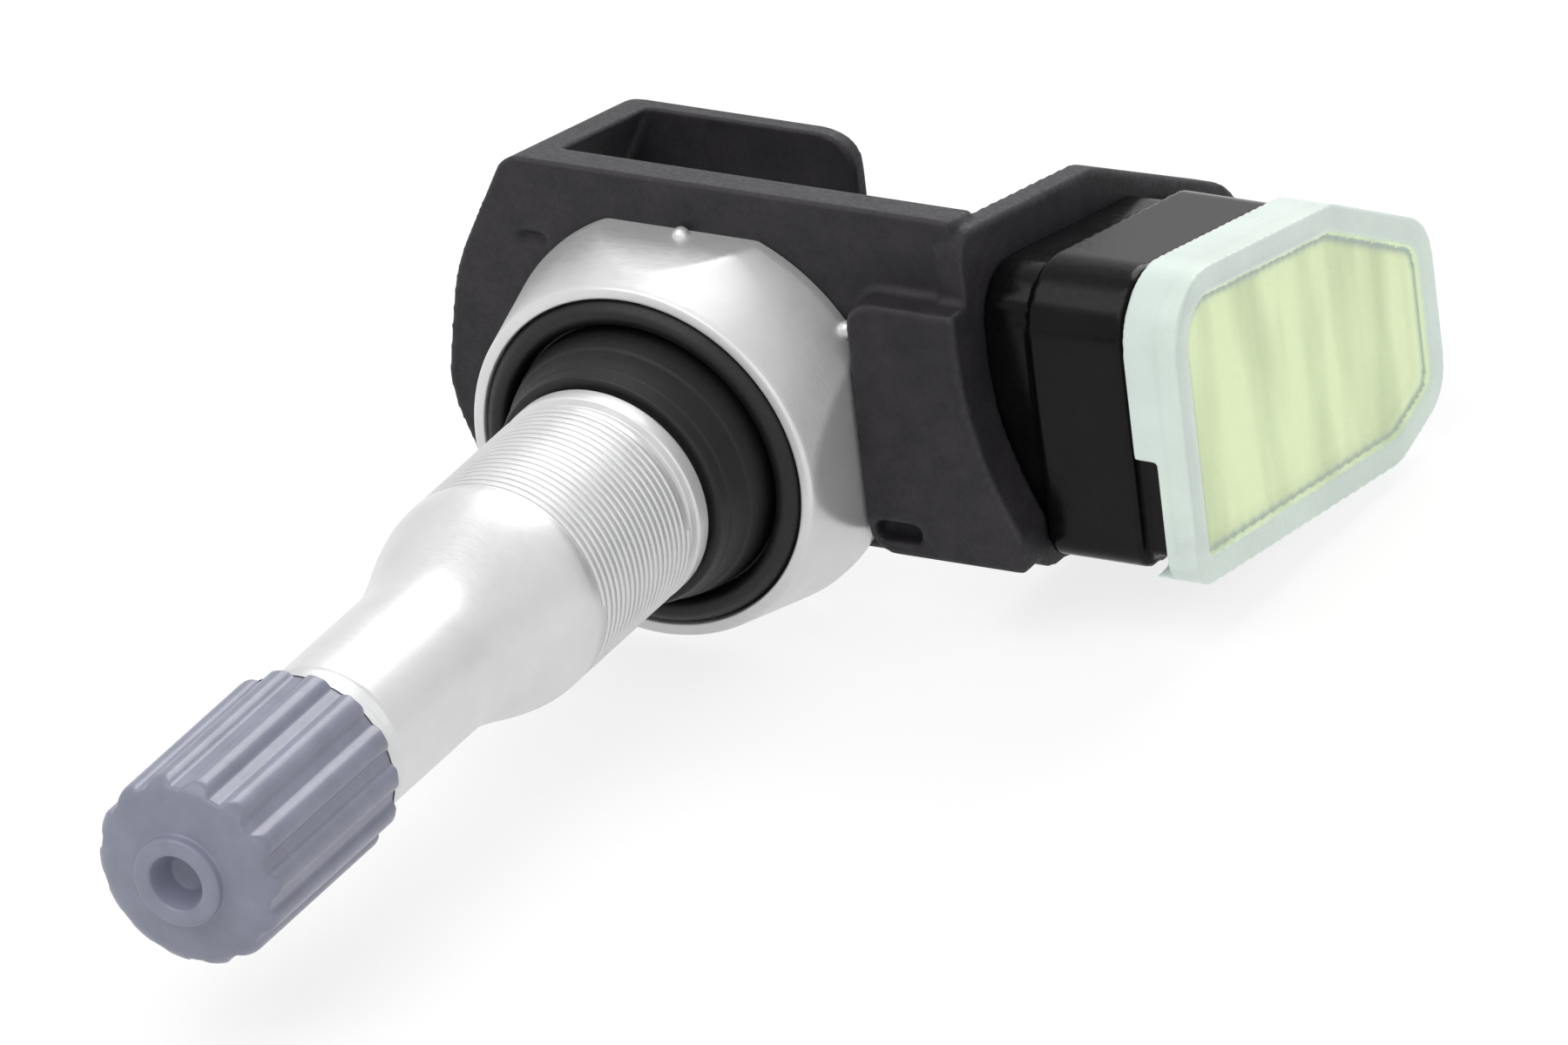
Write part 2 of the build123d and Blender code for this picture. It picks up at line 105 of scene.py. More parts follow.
STEM_CONE = (9.10, 3.60, 10.30, 9.00)
STEM_BACK = (
    (10.30, 9.00, 0.12),
    (10.30, 9.60, 0.12),
    (4.00, 9.60, 0.00),
    (4.00, 11.95, 0.10),
    (2.45, 11.95, 0.10),
    (2.45, 6.00, 0.00),
    (1.30, 6.00, 0.00),
    (1.30, -18.00, 0.00),
    (2.00, -18.00, 0.00),
    (2.00, -29.80, 0.00),
    (2.65, -31.20, 0.00),
    (2.65, -36.00, 0.10),
)
SHOULDER_STEPS = 22
CONE_STEPS = 14

# Flats of the cup: half widths across and up, and where they begin, in millimetres
CUP_FLATS = (9.20, 9.40)
CUP_FROM = 3.65

# Threads, as (root radius, start, length, steps per turn), the lengths in millimetres
BARREL_THREAD = (5.51, -9.95, 8.10, 128)
TIP_THREAD = (3.42, -35.50, 8.20, 96)
RIDGE_SHARE = 0.46

# Nubs on the flange's edge: place along the stem and greatest height in millimetres, angles in degrees
NUB_PLACE = 9.1
NUB_HEIGHT = 9.35
NUB_COUNT = 2
NUB_FIRST = 33
NUB_STEP = 56

# Rim grommet, an outline as above
GROMMET = (
    (5.25, 0.30, 0.12),
    (5.25, 7.60, 0.00),
    (8.45, 7.60, 0.00),
    (8.45, 3.75, 0.30),
    (7.95, 3.20, 0.45),
    (7.35, 3.30, 0.30),
    (7.15, 3.75, 0.15),
    (7.12, 4.30, 0.05),
    (6.96, 4.30, 0.05),
    (6.95, 3.45, 0.25),
    (6.62, 2.30, 0.10),
    (6.54, 2.28, 0.10),
    (6.22, 1.05, 0.12),
    (6.16, 1.02, 0.12),
    (6.00, 0.30, 0.20),
)

# Moulded copies, in steps of the grid: points nearer to the solid's face than TRUE_BY lie on it,
# and edges that were rounded by more than the highlight's start get a painted highlight, full over its span
TRUE_BY = 0.32
TRUE_FADE = 0.20
EDGE_HIGHLIGHT_FROM = 0.15
EDGE_HIGHLIGHT_SPAN = 0.70
BEVEL_ANGLE = 28

# Cover, in metres: the window's depth, the line inside its edge, and how near to their
# depths the window's floor, the frame's face and the edge between them lie
WINDOW_DEPTH = 0.0003
WINDOW_FADE = (0.00006, 0.00018)
RIM_LINE_INSET = 0.00045
RIM_LINE_WIDTH = 0.00022
FLOOR_BAND = 0.00006
FRAME_BAND = 0.00005
EDGE_BAND = (0.00002, 0.00005)
EDGE_REACH = 0.00045
SQUARE_ON = 0.9
EDGE_FACING = 0.2

# Cap: rim radius, rear and front edge, then the dome's end, in millimetres
CAP_OUTSIDE = (4.90, -28.30, -39.20)
CAP_DOME = (3.60, -40.25)
CAP_LIP = ((0.28, 0.00), (0.10, 0.05), (0.02, 0.16))
CAP_WALL_FROM = 0.3
CAP_WALL_STEPS = 20
CAP_DOME_STEPS = 16
SIDES_PER_RIB = 20
RIB_BLEND = 0.00012

# Cap's front boss and its inside, outlines as above
CAP_BOSS = (
    (2.62, -40.40, 0.10),
    (2.30, -40.44, 0.14),
    (2.28, -41.00, 0.24),
    (1.42, -41.00, 0.16),
    (1.20, -40.30, 0.20),
    (0.95, -39.55, 0.20),
    (0.00, -39.45, 0.00),
)
CAP_INSIDE = (
    (0.00, -38.30, 0.00),
    (1.50, -38.30, 0.10),
    (1.50, -37.00, 0.10),
    (3.95, -37.00, 0.10),
    (3.95, -28.75, 0.10),
    (4.25, -28.30, 0.10),
    (4.55, -28.30, 0.20),
)

# Stage: shades of the floor, and each lamp's size and place from the object's middle, in metres
FLOOR_BOUNCE = 0.82
FLOOR_SHADE = 0.26
FLOOR_GLOW = 0.80
FLOOR_DROP = 0.00002
KEY_LAMP = (0.55, (-0.10, -0.30, 0.55))
REAR_LAMP = (0.40, (-0.05, 0.50, 0.42))
FILL_LAMP = (0.45, (0.50, -0.40, 0.30))

# Camera: its right and up in the object's frame, its scale in pixels a millimetre, and how far left
# and above the picture's middle the cup's rim centre lies, in pixels
VIEW_RIGHT = (21.14, 11.70, -2.53)
VIEW_UP = (-3.54, 10.61, 21.73)
PIXELS_PER_MM = 24.37
PICTURE_WIDTH = 1800
FILM_WIDTH = 36
RIM_CENTRE = (0, 3.6, 0)
RIM_CENTRE_OFF = (163, 69)
CAMERA_REACH = 50


# Sizes and colours that a user would change

COLOUR = {"subtype": "COLOR", "size": 3, "min": 0, "max": 1}


class StemSizes(bpy.types.PropertyGroup):
    barrel_pitch: FloatProperty(
        name="Barrel thread pitch", description="Step of the fine thread on the barrel",
        default=0.00045, unit="LENGTH", precision=5)
    barrel_ridge: FloatProperty(
        name="Barrel thread height", description="Height of the barrel's thread over its root",
        default=0.00008, unit="LENGTH", precision=5)
    tip_pitch: FloatProperty(
        name="Tip thread pitch", description="Step of the thread that carries the cap",
        default=0.00079375, unit="LENGTH", precision=6)
    tip_ridge: FloatProperty(
        name="Tip thread height", description="Height of the tip's thread over its root",
        default=0.00042, unit="LENGTH", precision=5)
    nub_radius: FloatProperty(
        name="Nub radius", description="Radius of the small round nubs on the flange's edge",
        default=0.00044, unit="LENGTH", precision=5)
    nub_ring: FloatProperty(
        name="Nub ring", description="Distance of the nubs from the stem axis",
        default=0.0104, unit="LENGTH", precision=5)


class CapSizes(bpy.types.PropertyGroup):
    ribs: IntProperty(
        name="Ribs", description="Number of grip ribs round the cap", default=14, min=3)
    rib_radius: FloatProperty(
        name="Rib radius", description="Radius of one grip rib",
        default=0.00075, unit="LENGTH", precision=5)
    root_radius: FloatProperty(
        name="Root radius", description="Radius of the cap between its ribs",
        default=0.0045, unit="LENGTH", precision=5)


class MouldedSizes(bpy.types.PropertyGroup):
    grid: FloatProperty(
        name="Grid", description="Step of the fine grid that the moulded pieces are made on",
        default=0.00019, unit="LENGTH", precision=5)
    cover_grid: FloatProperty(
        name="Cover grid", description="Step of the finer grid that the end cover is made on",
        default=0.00013, unit="LENGTH", precision=5)
    bracket_softness: IntProperty(
        name="Bracket softness", description="How far the bracket's edges are rounded",
        default=7, min=0)
    case_softness: IntProperty(
        name="Case softness", description="How far the case's edges are rounded", default=4, min=0)
    cover_softness: IntProperty(
        name="Cover softness", description="How far the end cover's edges are rounded", default=4, min=0)
    screw_edge: FloatProperty(
        name="Screw edge", description="Width of the rounded edges of the clamping screw",
        default=0.00020, unit="LENGTH", precision=5)


class FinishColours(bpy.types.PropertyGroup):
    cap: FloatVectorProperty(
        name="Cap", description="Blue grey of the dust cap",
        default=(0.285, 0.295, 0.385), **COLOUR)
    alloy: FloatVectorProperty(
        name="Stem alloy", description="Pale satin aluminium of the stem and cup",
        default=(0.86, 0.865, 0.86), **COLOUR)
    rubber: FloatVectorProperty(
        name="Rubber", description="Black of the rim grommet",
        default=(0.006, 0.0055, 0.0065), **COLOUR)
    bracket: FloatVectorProperty(
        name="Bracket", description="Charcoal of the moulded bracket",
        default=(0.026, 0.023, 0.028), **COLOUR)
    # Painted highlight on the bracket's rounded edges
    bracket_edge_highlight: FloatVectorProperty(
        name="Bracket edge", description="Paler tone of the bracket's rubbed edges",
        default=(0.095, 0.090, 0.097), **COLOUR)
    case: FloatVectorProperty(
        name="Case", description="Deep black of the glossy case",
        default=(0.0045, 0.0042, 0.0050), **COLOUR)
    cover: FloatVectorProperty(
        name="Cover", description="Milky pale green of the cover's frame",
        default=(0.71, 0.80, 0.75), **COLOUR)
    window: FloatVectorProperty(
        name="Cover window", description="Yellow green of the cover's window",
        default=(0.83, 0.97, 0.58), **COLOUR)
    rim_line: FloatVectorProperty(
        name="Cover rim line", description="Grey green of the case rim seen through the cover",
        default=(0.40, 0.49, 0.44), **COLOUR)
    potting: FloatVectorProperty(
        name="Potting", description="Yellow green of the potting compound",
        default=(0.86, 0.95, 0.52), **COLOUR)
    brass: FloatVectorProperty(
        name="Core brass", description="Brass of the valve core",
        default=(0.72, 0.53, 0.24), **COLOUR)
    steel: FloatVectorProperty(
        name="Steel", description="Plated steel of the screw, spring and cell",
        default=(0.62, 0.62, 0.63), **COLOUR)
    board: FloatVectorProperty(
        name="Board", description="Green lacquer of the circuit board",
        default=(0.030, 0.16, 0.065), **COLOUR)


class StageSettings(bpy.types.PropertyGroup):
    floor_size: FloatProperty(
        name="Floor size", description="Width of the pale floor", default=3.0, unit="LENGTH")
    key_power: FloatProperty(
        name="Key lamp", description="Power of the large lamp above the object",
        default=1.9, unit="POWER")
    rear_power: FloatProperty(
        name="Rear lamp", description="Power of the lamp above and behind the object",
        default=2.0, unit="POWER")
    fill_power: FloatProperty(
        name="Fill lamp", description="Power of the lamp beside the camera", default=0.5, unit="POWER")
    sky: FloatProperty(
        name="Sky", description="Strength of the even light from all round", default=0.36)
    lens: FloatProperty(
        name="Lens", description="Focal length of the camera, in millimetres", default=900.0)


# Finishes

def new_finish(name):
    """A material with an empty principled surface."""
    finish = bpy.data.materials.new(name)
    finish.use_nodes = True
    tree = finish.node_tree
    tree.nodes.clear()
    out = tree.nodes.new("ShaderNodeOutputMaterial")
    surface = tree.nodes.new("ShaderNodeBsdfPrincipled")
    tree.links.new(surface.outputs["BSDF"], out.inputs["Surface"])
    return finish, tree, surface


def on_piece(tree, stretch=(1, 1, 1)):
    """The piece's own coordinates, stretched along its axes."""
    place = tree.nodes.new("ShaderNodeTexCoord")
    turn = tree.nodes.new("ShaderNodeMapping")
    turn.inputs["Scale"].default_value = stretch
    tree.links.new(place.outputs["Object"], turn.inputs["Vector"])
    return turn.outputs["Vector"]


def speckle(tree, where, size, detail=3.0, roughness=0.55):
    """Cloudy noise with spots of about that size, in metres."""
    noise = tree.nodes.new("ShaderNodeTexNoise")
    noise.inputs["Scale"].default_value = 1 / size
    noise.inputs["Detail"].default_value = detail
    noise.inputs["Roughness"].default_value = roughness
    tree.links.new(where, noise.inputs["Vector"])
    return noise.outputs["Fac"]


def bands(tree, where, along, step, wander):
    """Lines across an axis at that step, in metres."""
    wave = tree.nodes.new("ShaderNodeTexWave")
    wave.wave_type = "BANDS"
    wave.bands_direction = along
    wave.inputs["Scale"].default_value = 2 * pi / (20 * step)
    wave.inputs["Distortion"].default_value = wander
    wave.inputs["Detail"].default_value = 2
    wave.inputs["Detail Scale"].default_value = 1.2
    tree.links.new(where, wave.inputs["Vector"])
    return wave.outputs["Fac"]


def tone(tree, amount, dark, light, low=0.32, high=0.68):
    """A colour that runs from dark to light with the amount."""
    ramp = tree.nodes.new("ShaderNodeValToRGB")
    ramp.color_ramp.elements[0].position = low
    ramp.color_ramp.elements[1].position = high
    ramp.color_ramp.elements[0].color = (*dark, 1)
    ramp.color_ramp.elements[1].color = (*light, 1)
    tree.links.new(amount, ramp.inputs["Fac"])
    return ramp.outputs["Color"]


def grade(tree, amount, low, high):
    """A number that runs from low to high with the amount."""
    span = tree.nodes.new("ShaderNodeMapRange")
    span.inputs["From Min"].default_value = 0.3
    span.inputs["From Max"].default_value = 0.7
    span.inputs["To Min"].default_value = low
    span.inputs["To Max"].default_value = high
    tree.links.new(amount, span.inputs["Value"])
    return span.outputs["Result"]


def relief(tree, height, depth, strength, under=None):
    """A surface normal raised by the height."""
    bump = tree.nodes.new("ShaderNodeBump")
    bump.inputs["Strength"].default_value = strength
    bump.inputs["Distance"].default_value = depth
    tree.links.new(height, bump.inputs["Height"])
    if under is not None:
        tree.links.new(under, bump.inputs["Normal"])
    return bump.outputs["Normal"]


def shaded(colour, factor):
    """A colour made darker or lighter."""
    return tuple(min(1.0, part * factor) for part in colour)


def set_sockets(surface, sockets):
    for socket, value in sockets.items():
        surface.inputs[socket].default_value = value


def moulded_finish(name, colour, spread, spot, grain, rough, depth, strength, sockets, drift_and_edge_highlight=None):
    """Moulded plastic or rubber: clouded colour, fine grain in gloss and surface, and a painted highlight on
    the rounded edges when a highlight colour is given.
    """
    finish, tree, surface = new_finish(name)
    where = on_piece(tree)
    clouds = speckle(tree, where, spot, detail=4.0)
    fine = speckle(tree, where, grain, detail=2.0)
    body = tone(tree, clouds, shaded(colour, 1 - spread), shaded(colour, 1 + spread))
    # Painted highlight: the paler edge colour is laid on the rounded edges
    if drift_and_edge_highlight is not None:
        body = marked(tree, "highlighted", body, drift_and_edge_highlight)
    tree.links.new(body, surface.inputs["Base Color"])
    tree.links.new(grade(tree, fine, *rough), surface.inputs["Roughness"])
    tree.links.new(relief(tree, fine, depth, strength), surface.inputs["Normal"])
    set_sockets(surface, sockets)
    return finish


def turned_finish(name, colour, spread, step, rough, strength, sockets=None):
    """Metal turned on a lathe: fine rings round the stem axis, with drifting gloss."""
    finish, tree, surface = new_finish(name)
    where = on_piece(tree)
    rings = bands(tree, where, "Y", step, wander=1.5)
    drift = speckle(tree, where, size=0.0022, detail=3.0)
    scuffs = speckle(tree, on_piece(tree, stretch=(1, 6, 1)), size=0.0006, detail=4.0)
    drift_and_edge_highlight = tone(tree, drift, shaded(colour, 1 - spread), colour)
    tree.links.new(drift_and_edge_highlight, surface.inputs["Base Color"])
    tree.links.new(grade(tree, scuffs, *rough), surface.inputs["Roughness"])
    fine = relief(tree, scuffs, depth=0.00001, strength=strength * 0.5)
    turned = relief(tree, rings, depth=0.000012, strength=strength, under=fine)
    tree.links.new(turned, surface.inputs["Normal"])
    set_sockets(surface, {"Metallic": 1.0, **(sockets or {})})
    return finish


def wound_finish(name, colour, along, step, rough):
    """Enamelled wire lying turn by turn."""
    finish, tree, surface = new_finish(name)
    where = on_piece(tree)
    turns = bands(tree, where, along, step, wander=0.3)
    drift = speckle(tree, where, size=0.0012, detail=3.0)
    body = tone(tree, turns, shaded(colour, 0.35), colour, low=0.05, high=0.45)
    tree.links.new(body, surface.inputs["Base Color"])
    tree.links.new(grade(tree, drift, *rough), surface.inputs["Roughness"])
    tree.links.new(relief(tree, turns, depth=0.00005, strength=0.9), surface.inputs["Normal"])
    surface.inputs["Metallic"].default_value = 0.85
    return finish


def board_finish(name, colour):
    """Circuit board: lacquer with copper paths under it, over woven glass."""
    finish, tree, surface = new_finish(name)
    where = on_piece(tree)
    paths = tree.nodes.new("ShaderNodeTexVoronoi")
    paths.distance = "CHEBYCHEV"
    paths.feature = "F2"
    paths.inputs["Scale"].default_value = 1 / 0.0016
    tree.links.new(where, paths.inputs["Vector"])
    weave = bands(tree, where, "DIAGONAL", step=0.0003, wander=0.4)
    body = tone(tree, paths.outputs["Distance"], shaded(colour, 0.65), shaded(colour, 1.5), low=0.35, high=0.6)
    tree.links.new(body, surface.inputs["Base Color"])
    tree.links.new(grade(tree, weave, low=0.22, high=0.38), surface.inputs["Roughness"])
    tree.links.new(relief(tree, weave, depth=0.00001, strength=0.25), surface.inputs["Normal"])
    surface.inputs["Coat Weight"].default_value = 0.4
    return finish


def resin_finish(name, colour, spread, stretch, spot, rough, sockets):
    """Clouded resin: soft streaks of colour, a slightly wavy surface."""
    finish, tree, surface = new_finish(name)
    streaks = speckle(tree, on_piece(tree, stretch), spot, detail=2.5, roughness=0.45)
    waves = speckle(tree, on_piece(tree), size=0.0030, detail=2.0)
    body = tone(tree, streaks, shaded(colour, 1 - spread), shaded(colour, 1 + spread * 0.5))
    tree.links.new(body, surface.inputs["Base Color"])
    tree.links.new(grade(tree, waves, *rough), surface.inputs["Roughness"])
    tree.links.new(relief(tree, waves, depth=0.00006, strength=0.25), surface.inputs["Normal"])
    set_sockets(surface, sockets)
    return finish


def marked(tree, name, body, other):
    """The body colour, changed to another where the piece carries that mark."""
    place = tree.nodes.new("ShaderNodeAttribute")
    place.attribute_name = name
    mix = tree.nodes.new("ShaderNodeMix")
    mix.data_type = "RGBA"
    tree.links.new(place.outputs["Fac"], mix.inputs["Factor"])
    tree.links.new(body, mix.inputs["A"])
    if isinstance(other, tuple):
        mix.inputs["B"].default_value = (*other, 1)
    else:
        tree.links.new(other, mix.inputs["B"])
    return mix.outputs["Result"]


def cover_finish(colours):
    """Milky cover: pale frame, sunk window with soft upright bands and a darker line inside its edge.

    A weak glow stands in for the light that milky plastic passes on."""
    finish, tree, surface = new_finish("milky cover")
    where = on_piece(tree)
    clouds = speckle(tree, where, size=0.0035, detail=2.5, roughness=0.45)
    upright = speckle(tree, on_piece(tree, stretch=(1, 1, 0.18)), size=0.0028, detail=2.0, roughness=0.5)
    waves = speckle(tree, where, size=0.0026, detail=2.0)
    pale = tone(tree, clouds, shaded(colours.cover, 0.95), shaded(colours.cover, 1.04))
    glow = tone(tree, upright, shaded(colours.window, 0.80), shaded(colours.window, 1.06), low=0.36, high=0.62)
    colour = marked(tree, "window", pale, glow)
    colour = marked(tree, "rim_line", colour, tuple(colours.rim_line))
    tree.links.new(colour, surface.inputs["Base Color"])
    tree.links.new(colour, surface.inputs["Emission Color"])
    tree.links.new(grade(tree, waves, low=0.20, high=0.34), surface.inputs["Roughness"])
    tree.links.new(relief(tree, waves, depth=0.00004, strength=0.08), surface.inputs["Normal"])
    set_sockets(surface, {"Emission Strength": 0.20, "Transmission Weight": 0.10, "IOR": 1.46})
    return finish


# Mesh helpers

def softened(outline, loop):
    """The outline with its corners rounded, in metres."""
    count = len(outline)
    points = []
    for i, (radius, y, soft) in enumerate(outline):
        here = Vector((radius, y))
        inner = loop or 0 < i < count - 1
        if not inner or soft <= 0:
            points.append(here * MM)
            continue
        before = Vector(outline[i - 1][:2])
        after = Vector(outline[(i + 1) % count][:2])
        reach_in = min(soft, (before - here).length * 0.48)
        reach_out = min(soft, (after - here).length * 0.48)
        first = here + (before - here).normalized() * reach_in
        last = here + (after - here).normalized() * reach_out
        for step in range(ROUND_STEPS + 1):
            t = step / ROUND_STEPS
            points.append((first * (1 - t) ** 2 + here * 2 * t * (1 - t) + last * t * t) * MM)
    return [(point.x, point.y) for point in points]


def turned_mesh(name, outline, loop, sides):
    """A mesh turned about the stem axis from (radius, place) points in metres."""
    shape = bmesh.new()
    rings = []
    for radius, y in outline:
        if radius < 1e-7:
            rings.append([shape.verts.new((0, y, 0))])
            continue
        rings.append([
            shape.verts.new((radius * cos(2 * pi * k / sides), y, radius * sin(2 * pi * k / sides)))
            for k in range(sides)])
    pairs = list(zip(rings, rings[1:]))
    if loop:
        pairs.append((rings[-1], rings[0]))
    for one, two in pairs:
        for k in range(sides):
            after = (k + 1) % sides
            corners = [one[k % len(one)], one[after % len(one)], two[after % len(two)], two[k % len(two)]]
            corners = list(dict.fromkeys(corners))
            if len(corners) > 2:
                shape.faces.new(corners)
    bmesh.ops.recalc_face_normals(shape, faces=shape.faces)
    mesh = bpy.data.meshes.new(name)
    shape.to_mesh(mesh)
    shape.free()
    return mesh


def new_piece(name, mesh, sharp=SHARP):
    """An object for a mesh, smooth except at its sharp edges."""
    mesh.shade_smooth()
    mesh.set_sharp_from_angle(angle=radians(sharp))
    piece = bpy.data.objects.new(name, mesh)
    bpy.context.scene.collection.objects.link(piece)
    return piece


def settled(piece):
    """The piece with its modifiers made part of a plain mesh."""
    graph = bpy.context.evaluated_depsgraph_get()
    graph.update()
    mesh = bpy.data.meshes.new_from_object(piece.evaluated_get(graph))
    old = piece.data
    piece.modifiers.clear()
    piece.data = mesh
    mesh.name = piece.name
    bpy.data.meshes.remove(old)
    return piece


def dress(piece, finishes, body, nodes=()):
    """Gives a finished piece its materials, its body and the nodes it stands for."""
    piece.data.materials.clear()
    for finish in finishes:
        piece.data.materials.append(finish)
    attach(piece, body)
    if nodes:
        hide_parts(*nodes)


def merged_mesh(node, name):
    """A copy of a node's mesh with its loose triangles joined."""
    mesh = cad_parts[node].data.copy()
    mesh.name = name
    for layer in ("custom_normal", "sharp_face", "sharp_edge"):
        if layer in mesh.attributes:
            mesh.attributes.remove(mesh.attributes[layer])
    shape = bmesh.new()
    shape.from_mesh(mesh)
    bmesh.ops.remove_doubles(shape, verts=shape.verts, dist=2e-6)
    shape.to_mesh(mesh)
    shape.free()
    mesh.materials.clear()
    return mesh


def edged_copy(node, name, width, steps=3):
    """A copy of a turned node with rounded edges, whose new faces take the second material."""
    mesh = merged_mesh(node, name)
    piece = bpy.data.objects.new(name, mesh)
    bpy.context.scene.collection.objects.link(piece)
    edge = piece.modifiers.new("rounded edges", "BEVEL")
    edge.width = width
    edge.segments = steps
    edge.limit_method = "ANGLE"
    edge.angle_limit = radians(BEVEL_ANGLE)
    edge.use_clamp_overlap = False
    edge.material = 1
    mesh.materials.append(None)
    mesh.materials.append(None)
    settled(piece)
    piece.data.shade_smooth()
    piece.data.set_sharp_from_angle(angle=radians(SHARP))
    return piece


def vertex_values(mesh, name):
    """One row of three numbers for each vertex."""
    values = np.empty(len(mesh.vertices) * 3, dtype=np.float32)
    mesh.vertices.foreach_get(name, values)
    return values.reshape(-1, 3)


def moulded_copy(node, name, grid, softness):
    """A dense copy of a moulded node with true faces and soft edges, which marks its rounded edges for a
    painted highlight.
    """
    piece = bpy.data.objects.new(name, merged_mesh(node, name))
    bpy.context.scene.collection.objects.link(piece)
    remesh = piece.modifiers.new("even grid", "REMESH")
    remesh.mode = "VOXEL"
    remesh.voxel_size = grid
    settled(piece)
    before = vertex_values(piece.data, "co")
    smooth = piece.modifiers.new("soft edges", "SMOOTH")
    smooth.factor = 0.5
    smooth.iterations = softness
    settled(piece)
    after = vertex_values(piece.data, "co")
    # Painted highlight: the further a point moved inwards when the edges were rounded, the paler its edge is
    # painted
    moved = ((before - after) * vertex_values(piece.data, "normal")).sum(axis=1) / grid
    highlighted = piece.data.attributes.new("highlighted", "FLOAT", "POINT")
    highlighted.data.foreach_set("value", np.clip((moved - EDGE_HIGHLIGHT_FROM) / EDGE_HIGHLIGHT_SPAN, 0, 1).astype(np.float32))
    solid = bpy.data.objects.new("solid", merged_mesh(node, "solid"))
    bpy.context.scene.collection.objects.link(solid)
    wrap = piece.modifiers.new("true faces", "SHRINKWRAP")
    wrap.target = solid
    settled(piece)
    true = vertex_values(piece.data, "co")
    bpy.data.meshes.remove(solid.data)
    off = np.linalg.norm(true - after, axis=1, keepdims=True) / grid
    placed = after + (true - after) * np.clip((TRUE_BY - off) / TRUE_FADE, 0, 1)
    low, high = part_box(node)
    piece.data.vertices.foreach_set("co", np.clip(placed, low, high).astype(np.float32).ravel())
    piece.data.update()
    piece.data.shade_smooth()
    return piece


def nearest(points, places):
    """How far each point is from the nearest of the places."""
    tree = KDTree(len(places))
    for i, place in enumerate(places):
        tree.insert(place, i)
    tree.balance()
    return np.array([tree.find(point)[2] for point in points])


def mark_window(mesh):
    """Marks the cover's sunk window, and the line inside its edge where the dark case rim shows through."""
    points = vertex_values(mesh, "co")
    facing = vertex_values(mesh, "normal")[:, 0]
    face = points[:, 0].max()
    depth = face - points[:, 0]
    floor = (np.abs(depth - WINDOW_DEPTH) < FLOOR_BAND) & (facing > SQUARE_ON)
    frame_face = (depth < FRAME_BAND) & (facing > SQUARE_ON)
    over, under = EDGE_BAND
    edge = (facing > EDGE_FACING) & (depth > over) & (depth < WINDOW_DEPTH + under)
    window = np.zeros(len(points), dtype=np.float32)
    line = np.zeros(len(points), dtype=np.float32)
    ids = np.nonzero(edge)[0]
    close = nearest(points[ids], points[floor]) < EDGE_REACH
    ids = ids[close]
    fade_from, fade_span = WINDOW_FADE
    window[ids] = np.clip((depth[ids] - fade_from) / fade_span, 0, 1)
    ids = np.nonzero(floor)[0]
    inset = nearest(points[ids], points[frame_face])
    line[ids] = np.exp(-((inset - RIM_LINE_INSET) / RIM_LINE_WIDTH) ** 2)
    for name, values in (("window", window), ("rim_line", line)):
        layer = mesh.attributes.new(name, "FLOAT", "POINT")
        layer.data.foreach_set("value", values)


# Geometry node trees

class Tree:
    """A geometry node tree under construction."""

    def __init__(self, name):
        self.group = bpy.data.node_groups.new(name, "GeometryNodeTree")
        self.sockets = {}

    def takes(self, kind, *names):
        """Inputs of one kind, by name."""
        for name in names:
            socket = self.group.interface.new_socket(name=name, in_out="INPUT", socket_type="NodeSocket" + kind)
            self.sockets[name] = socket.identifier

    def ready(self):
        self.group.interface.new_socket(name="Geometry", in_out="OUTPUT", socket_type="NodeSocketGeometry")
        self.inputs = self.group.nodes.new("NodeGroupInput").outputs

    def put(self, kind, links=None, **settings):
        """A node with its inputs linked or set, by name or number."""
        node = self.group.nodes.new(kind)
        for key, value in settings.items():
            setattr(node, key, value)
        for key, value in (links or {}).items():
            if isinstance(value, bpy.types.NodeSocket):
                self.group.links.new(value, node.inputs[key])
            else:
                node.inputs[key].default_value = value
        return node

    def sum(self, operation, *values):
        """A number worked out from others."""
        return self.put("ShaderNodeMath", dict(enumerate(values)), operation=operation).outputs[0]

    def gives(self, geometry):
        """Ends the tree: instances made real, one material set."""
        real = self.put("GeometryNodeRealizeInstances", {"Geometry": geometry})
        painted = self.put("GeometryNodeSetMaterial",
                           {"Geometry": real.outputs[0], "Material": self.inputs["Material"]})
        out = self.group.nodes.new("NodeGroupOutput")
        self.group.links.new(painted.outputs[0], out.inputs[0])

    def run(self, piece, values):
        """Runs the tree on a piece, with its inputs set first, and keeps a plain mesh."""
        nodes = piece.modifiers.new(self.group.name, "NODES")
        nodes.node_group = self.group
        for name, value in values.items():
            nodes[self.sockets[name]] = value
        return settled(piece)


